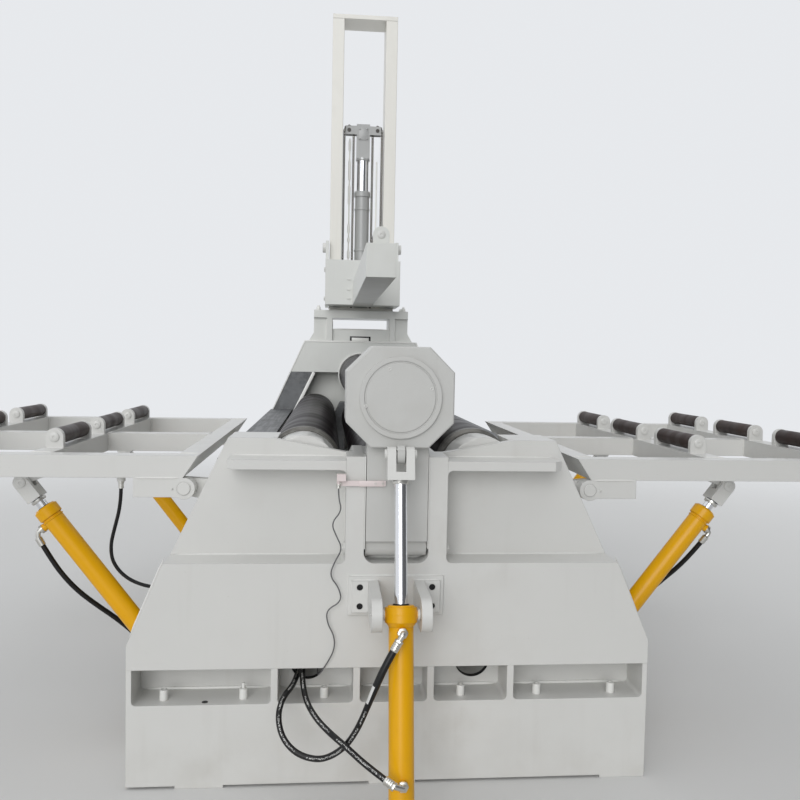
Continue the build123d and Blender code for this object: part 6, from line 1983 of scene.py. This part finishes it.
@dataclass
class Nodes:
    """Gives every CAD node that still shows its finish."""

    rolls: tuple[str, ...] = ("top_roll", "bottom_roll", "left_roll", "right_roll")
    rollers: tuple[str, ...] = ("arm_rollers", "left_inner_rollers", "left_outer_rollers",
                                "right_inner_rollers", "right_outer_rollers")
    # The drive end's roll guides are painted frame parts; the dark bare finish on them is painted
    # shade, with oil, in the gap behind the rolls.
    bare: tuple[str, ...] = ("apron_plates", "hinge_shaft", "drive_end_roll_guides")
    grey: tuple[str, ...] = ("mast_cylinder", "top_roll_drive")
    far: tuple[str, ...] = ("drive_end_base", "drive_end_shoulders", "drive_end_upper_panel",
                            "drive_end_head_beam", "main_bearing_housing", "mast_platform",
                            "mast_carriage", "support_arm")
    head: tuple[str, ...] = ("drop_head", "head_cover")

    @staticmethod
    def _table_rod(name: str, side: int) -> Finish:
        """Return the finish of one side's rods: chrome below, a white clevis above."""
        border = table_point(side, TABLE_REACH - 0.092, 0.0)
        return Finish(name + "_rod_finish", Slot.CHROME, CHROME_COAT, other=WHITE,
                      zone=Zone(tuple(border), tuple(table_way(side))))

    @staticmethod
    def _table_barrel(name: str, side: int) -> Finish:
        """Return the finish of one side's barrels: amber, with a plated elbow."""
        out = table_out(side)
        border = table_point(side, TABLE_REACH - 0.207, 0.0) + out * 0.0562
        return Finish(name + "_barrel_finish", Slot.AMBER, AMBER, clear=0.05, edge=0.002,
                      other=SILVER, zone=Zone(tuple(border), tuple(out)), gloss=0.3)

    def build(self) -> None:
        """Assign the materials."""
        finishes = {"drop_cylinder_barrel": DROP_AMBER, "drop_cylinder_rod": ROD_FINISH,
                    "mast_plunger": PLUNGER_FINISH, "limit_switch_arm": SWITCH}
        for names, finish in ((self.rolls, ROLL), (self.rollers, ROLLER), (self.bare, BARE_STEEL_AND_SHADE),
                              (self.grey, GREY), (self.far, FAR_PAINT), (self.head, HEAD_PAINT)):
            finishes |= dict.fromkeys(names, finish)
        for name, side in SIDES:
            finishes[f"{name}_table_rods"] = self._table_rod(name, side)
            finishes[f"{name}_table_barrels"] = self._table_barrel(name, side)
        for name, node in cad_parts.items():
            finish = finishes.get(name, PAINT)
            node.data.materials.clear()
            node.data.materials.append(Stock.material(finish))
            for face in node.data.polygons:
                face.material_index = 0
            LOG.info("%s: %s", name, finish.name)


@dataclass(frozen=True)
class Lamp:
    """A soft far lamp.

    Its turn to the viewer's left, its height and how wide it looks are in degrees.
    """

    name: str
    turn: float
    height: float
    spread: float
    strength: float

    def build(self) -> None:
        """Add the lamp."""
        data = bpy.data.lights.new(self.name, "SUN")
        data.angle = math.radians(self.spread)
        data.energy = self.strength
        light = placed(self.name, data)
        across, rise = math.radians(self.turn), math.radians(self.height)
        source = Vector((-math.sin(across) * math.cos(rise), -math.cos(across) * math.cos(rise),
                         math.sin(rise)))
        light.matrix_world = (-source).to_track_quat("-Z", "Y").to_matrix().to_4x4()


@dataclass
class Studio:
    """Floor, soft lights, pale background and the camera."""

    focal_pixels: float = 815.965
    picture: int = 800
    eye: Point = (-0.27, -5.081, 1.633)
    turn: float = 5.122
    dip: float = 2.911
    roll: float = 1.091
    sensor: float = 36.0
    lamps: tuple[Lamp, ...] = (Lamp("front_lamp", 16.0, 19.0, 38.0, 1.2),
                               Lamp("roof_lamp", 0.0, 75.0, 60.0, 0.5))
    floor_half: float = 14.0
    floor_fade: Pair = (4.0, 12.0)
    floor_colour: Colour = (0.66, 0.66, 0.65)
    floor_roughness: float = 0.75
    card_place: Point = (4.4, -7.5, 6.0)
    card_half: float = 6.0
    card_colour: Colour = (0.16, 0.16, 0.165)
    card_roughness: float = 0.9
    sky_colour: Colour = (0.93, 0.95, 0.98)
    sky_strengths: Pair = (0.62, 0.86)

    def _camera(self) -> None:
        """Add the camera at the photograph's viewpoint."""
        turn, dip, roll = (math.radians(angle) for angle in (self.turn, self.dip, self.roll))
        forward = Vector((math.sin(turn) * math.cos(dip), math.cos(turn) * math.cos(dip),
                          -math.sin(dip)))
        level = Vector((math.cos(turn), -math.sin(turn), 0))
        top = level.cross(forward)
        right = level * math.cos(roll) + top * math.sin(roll)
        above = top * math.cos(roll) - level * math.sin(roll)
        data = bpy.data.cameras.new("photograph_view")
        data.sensor_width = self.sensor
        data.lens = self.focal_pixels / self.picture * self.sensor
        data.clip_end = 200.0
        camera = placed("photograph_view", data)
        axes = Matrix((right, above, -forward)).transposed().to_4x4()
        camera.matrix_world = Matrix.Translation(self.eye) @ axes
        bpy.context.scene.camera = camera

    def _stage_piece(self, name: str, half: float, place: Matrix, colour: Colour,
                     roughness: float) -> Piece:
        """Return a plain square of the studio.

        Args:
            name: its name.
            half: half its side.
            place: where it stands.
            colour: its colour.
            roughness: its roughness.

        Returns:
            The square.
        """
        shape = bmesh.new()
        bmesh.ops.create_grid(shape, x_segments=2, y_segments=2, size=half, matrix=place)
        data = bpy.data.meshes.new(name)
        shape.to_mesh(data)
        shape.free()
        square = placed(name, data)
        material = bpy.data.materials.new(name)
        material.use_nodes = True
        shader = material.node_tree.nodes["Principled BSDF"]
        shader.inputs["Base Color"].default_value = rgba(colour)
        shader.inputs["Roughness"].default_value = roughness
        data.materials.append(material)
        return square

    def _floor(self) -> None:
        """Add the pale floor, which fades into the surroundings far from the machine."""
        floor = self._stage_piece("studio_floor", self.floor_half, Matrix.Identity(4),
                                  self.floor_colour, self.floor_roughness)
        tree = floor.data.materials[0].node_tree
        graph = Graph(tree)
        place = graph.add("TexCoord").outputs["Object"]
        reach = graph.vector("LENGTH", place).outputs["Value"]
        faded = graph.add("MixShader", {0: graph.step(reach, *self.floor_fade),
                                        1: tree.nodes["Principled BSDF"].outputs[0],
                                        2: graph.add("BsdfTransparent").outputs[0]})
        tree.links.new(faded.outputs[0], tree.nodes["Material Output"].inputs["Surface"])

    def _card(self) -> None:
        """Add the unseen dark card on the right, which shades the rod's right flank."""
        upright = Matrix.Translation(self.card_place) @ Matrix.Rotation(math.radians(90), 4, "Y")
        card = self._stage_piece("dark_card", self.card_half, upright, self.card_colour,
                                 self.card_roughness)
        for kind in ("camera", "transmission", "volume_scatter", "shadow"):
            setattr(card, "visible_" + kind, False)

    def _sky(self) -> None:
        """Add the plain surroundings, a little brighter to the camera than to the machine."""
        world = bpy.data.worlds.new("studio_surroundings")
        bpy.context.scene.world = world
        world.use_nodes = True
        graph = Graph(world.node_tree)
        back = world.node_tree.nodes["Background"]
        back.inputs["Color"].default_value = rgba(self.sky_colour)
        path = graph.add("LightPath")
        seen = graph.calc("MAXIMUM", path.outputs["Is Camera Ray"], path.outputs["Is Glossy Ray"])
        strength = graph.blend(seen, *self.sky_strengths)
        graph.tree.links.new(strength, back.inputs["Strength"])

    def build(self) -> None:
        """Set up the studio."""
        self._camera()
        self._floor()
        self._card()
        self._sky()
        for lamp in self.lamps:
            lamp.build()
        bpy.context.scene.view_settings.view_transform = "Standard"


def main() -> None:
    """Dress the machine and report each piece."""
    logging.basicConfig(level=logging.INFO, format="%(message)s")
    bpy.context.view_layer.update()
    Stock.effects = Effects()
    for part in (Studio(), Nodes(), Hoses(), Fittings(), NearFrame(), DropHead(), DropCylinder(),
                 RollStand(), FarFrame(), Mast(), *(SideTable(*side) for side in SIDES)):
        LOG.info("building %s", type(part).__name__)
        part.build()


if __name__ == "__main__":
    main()
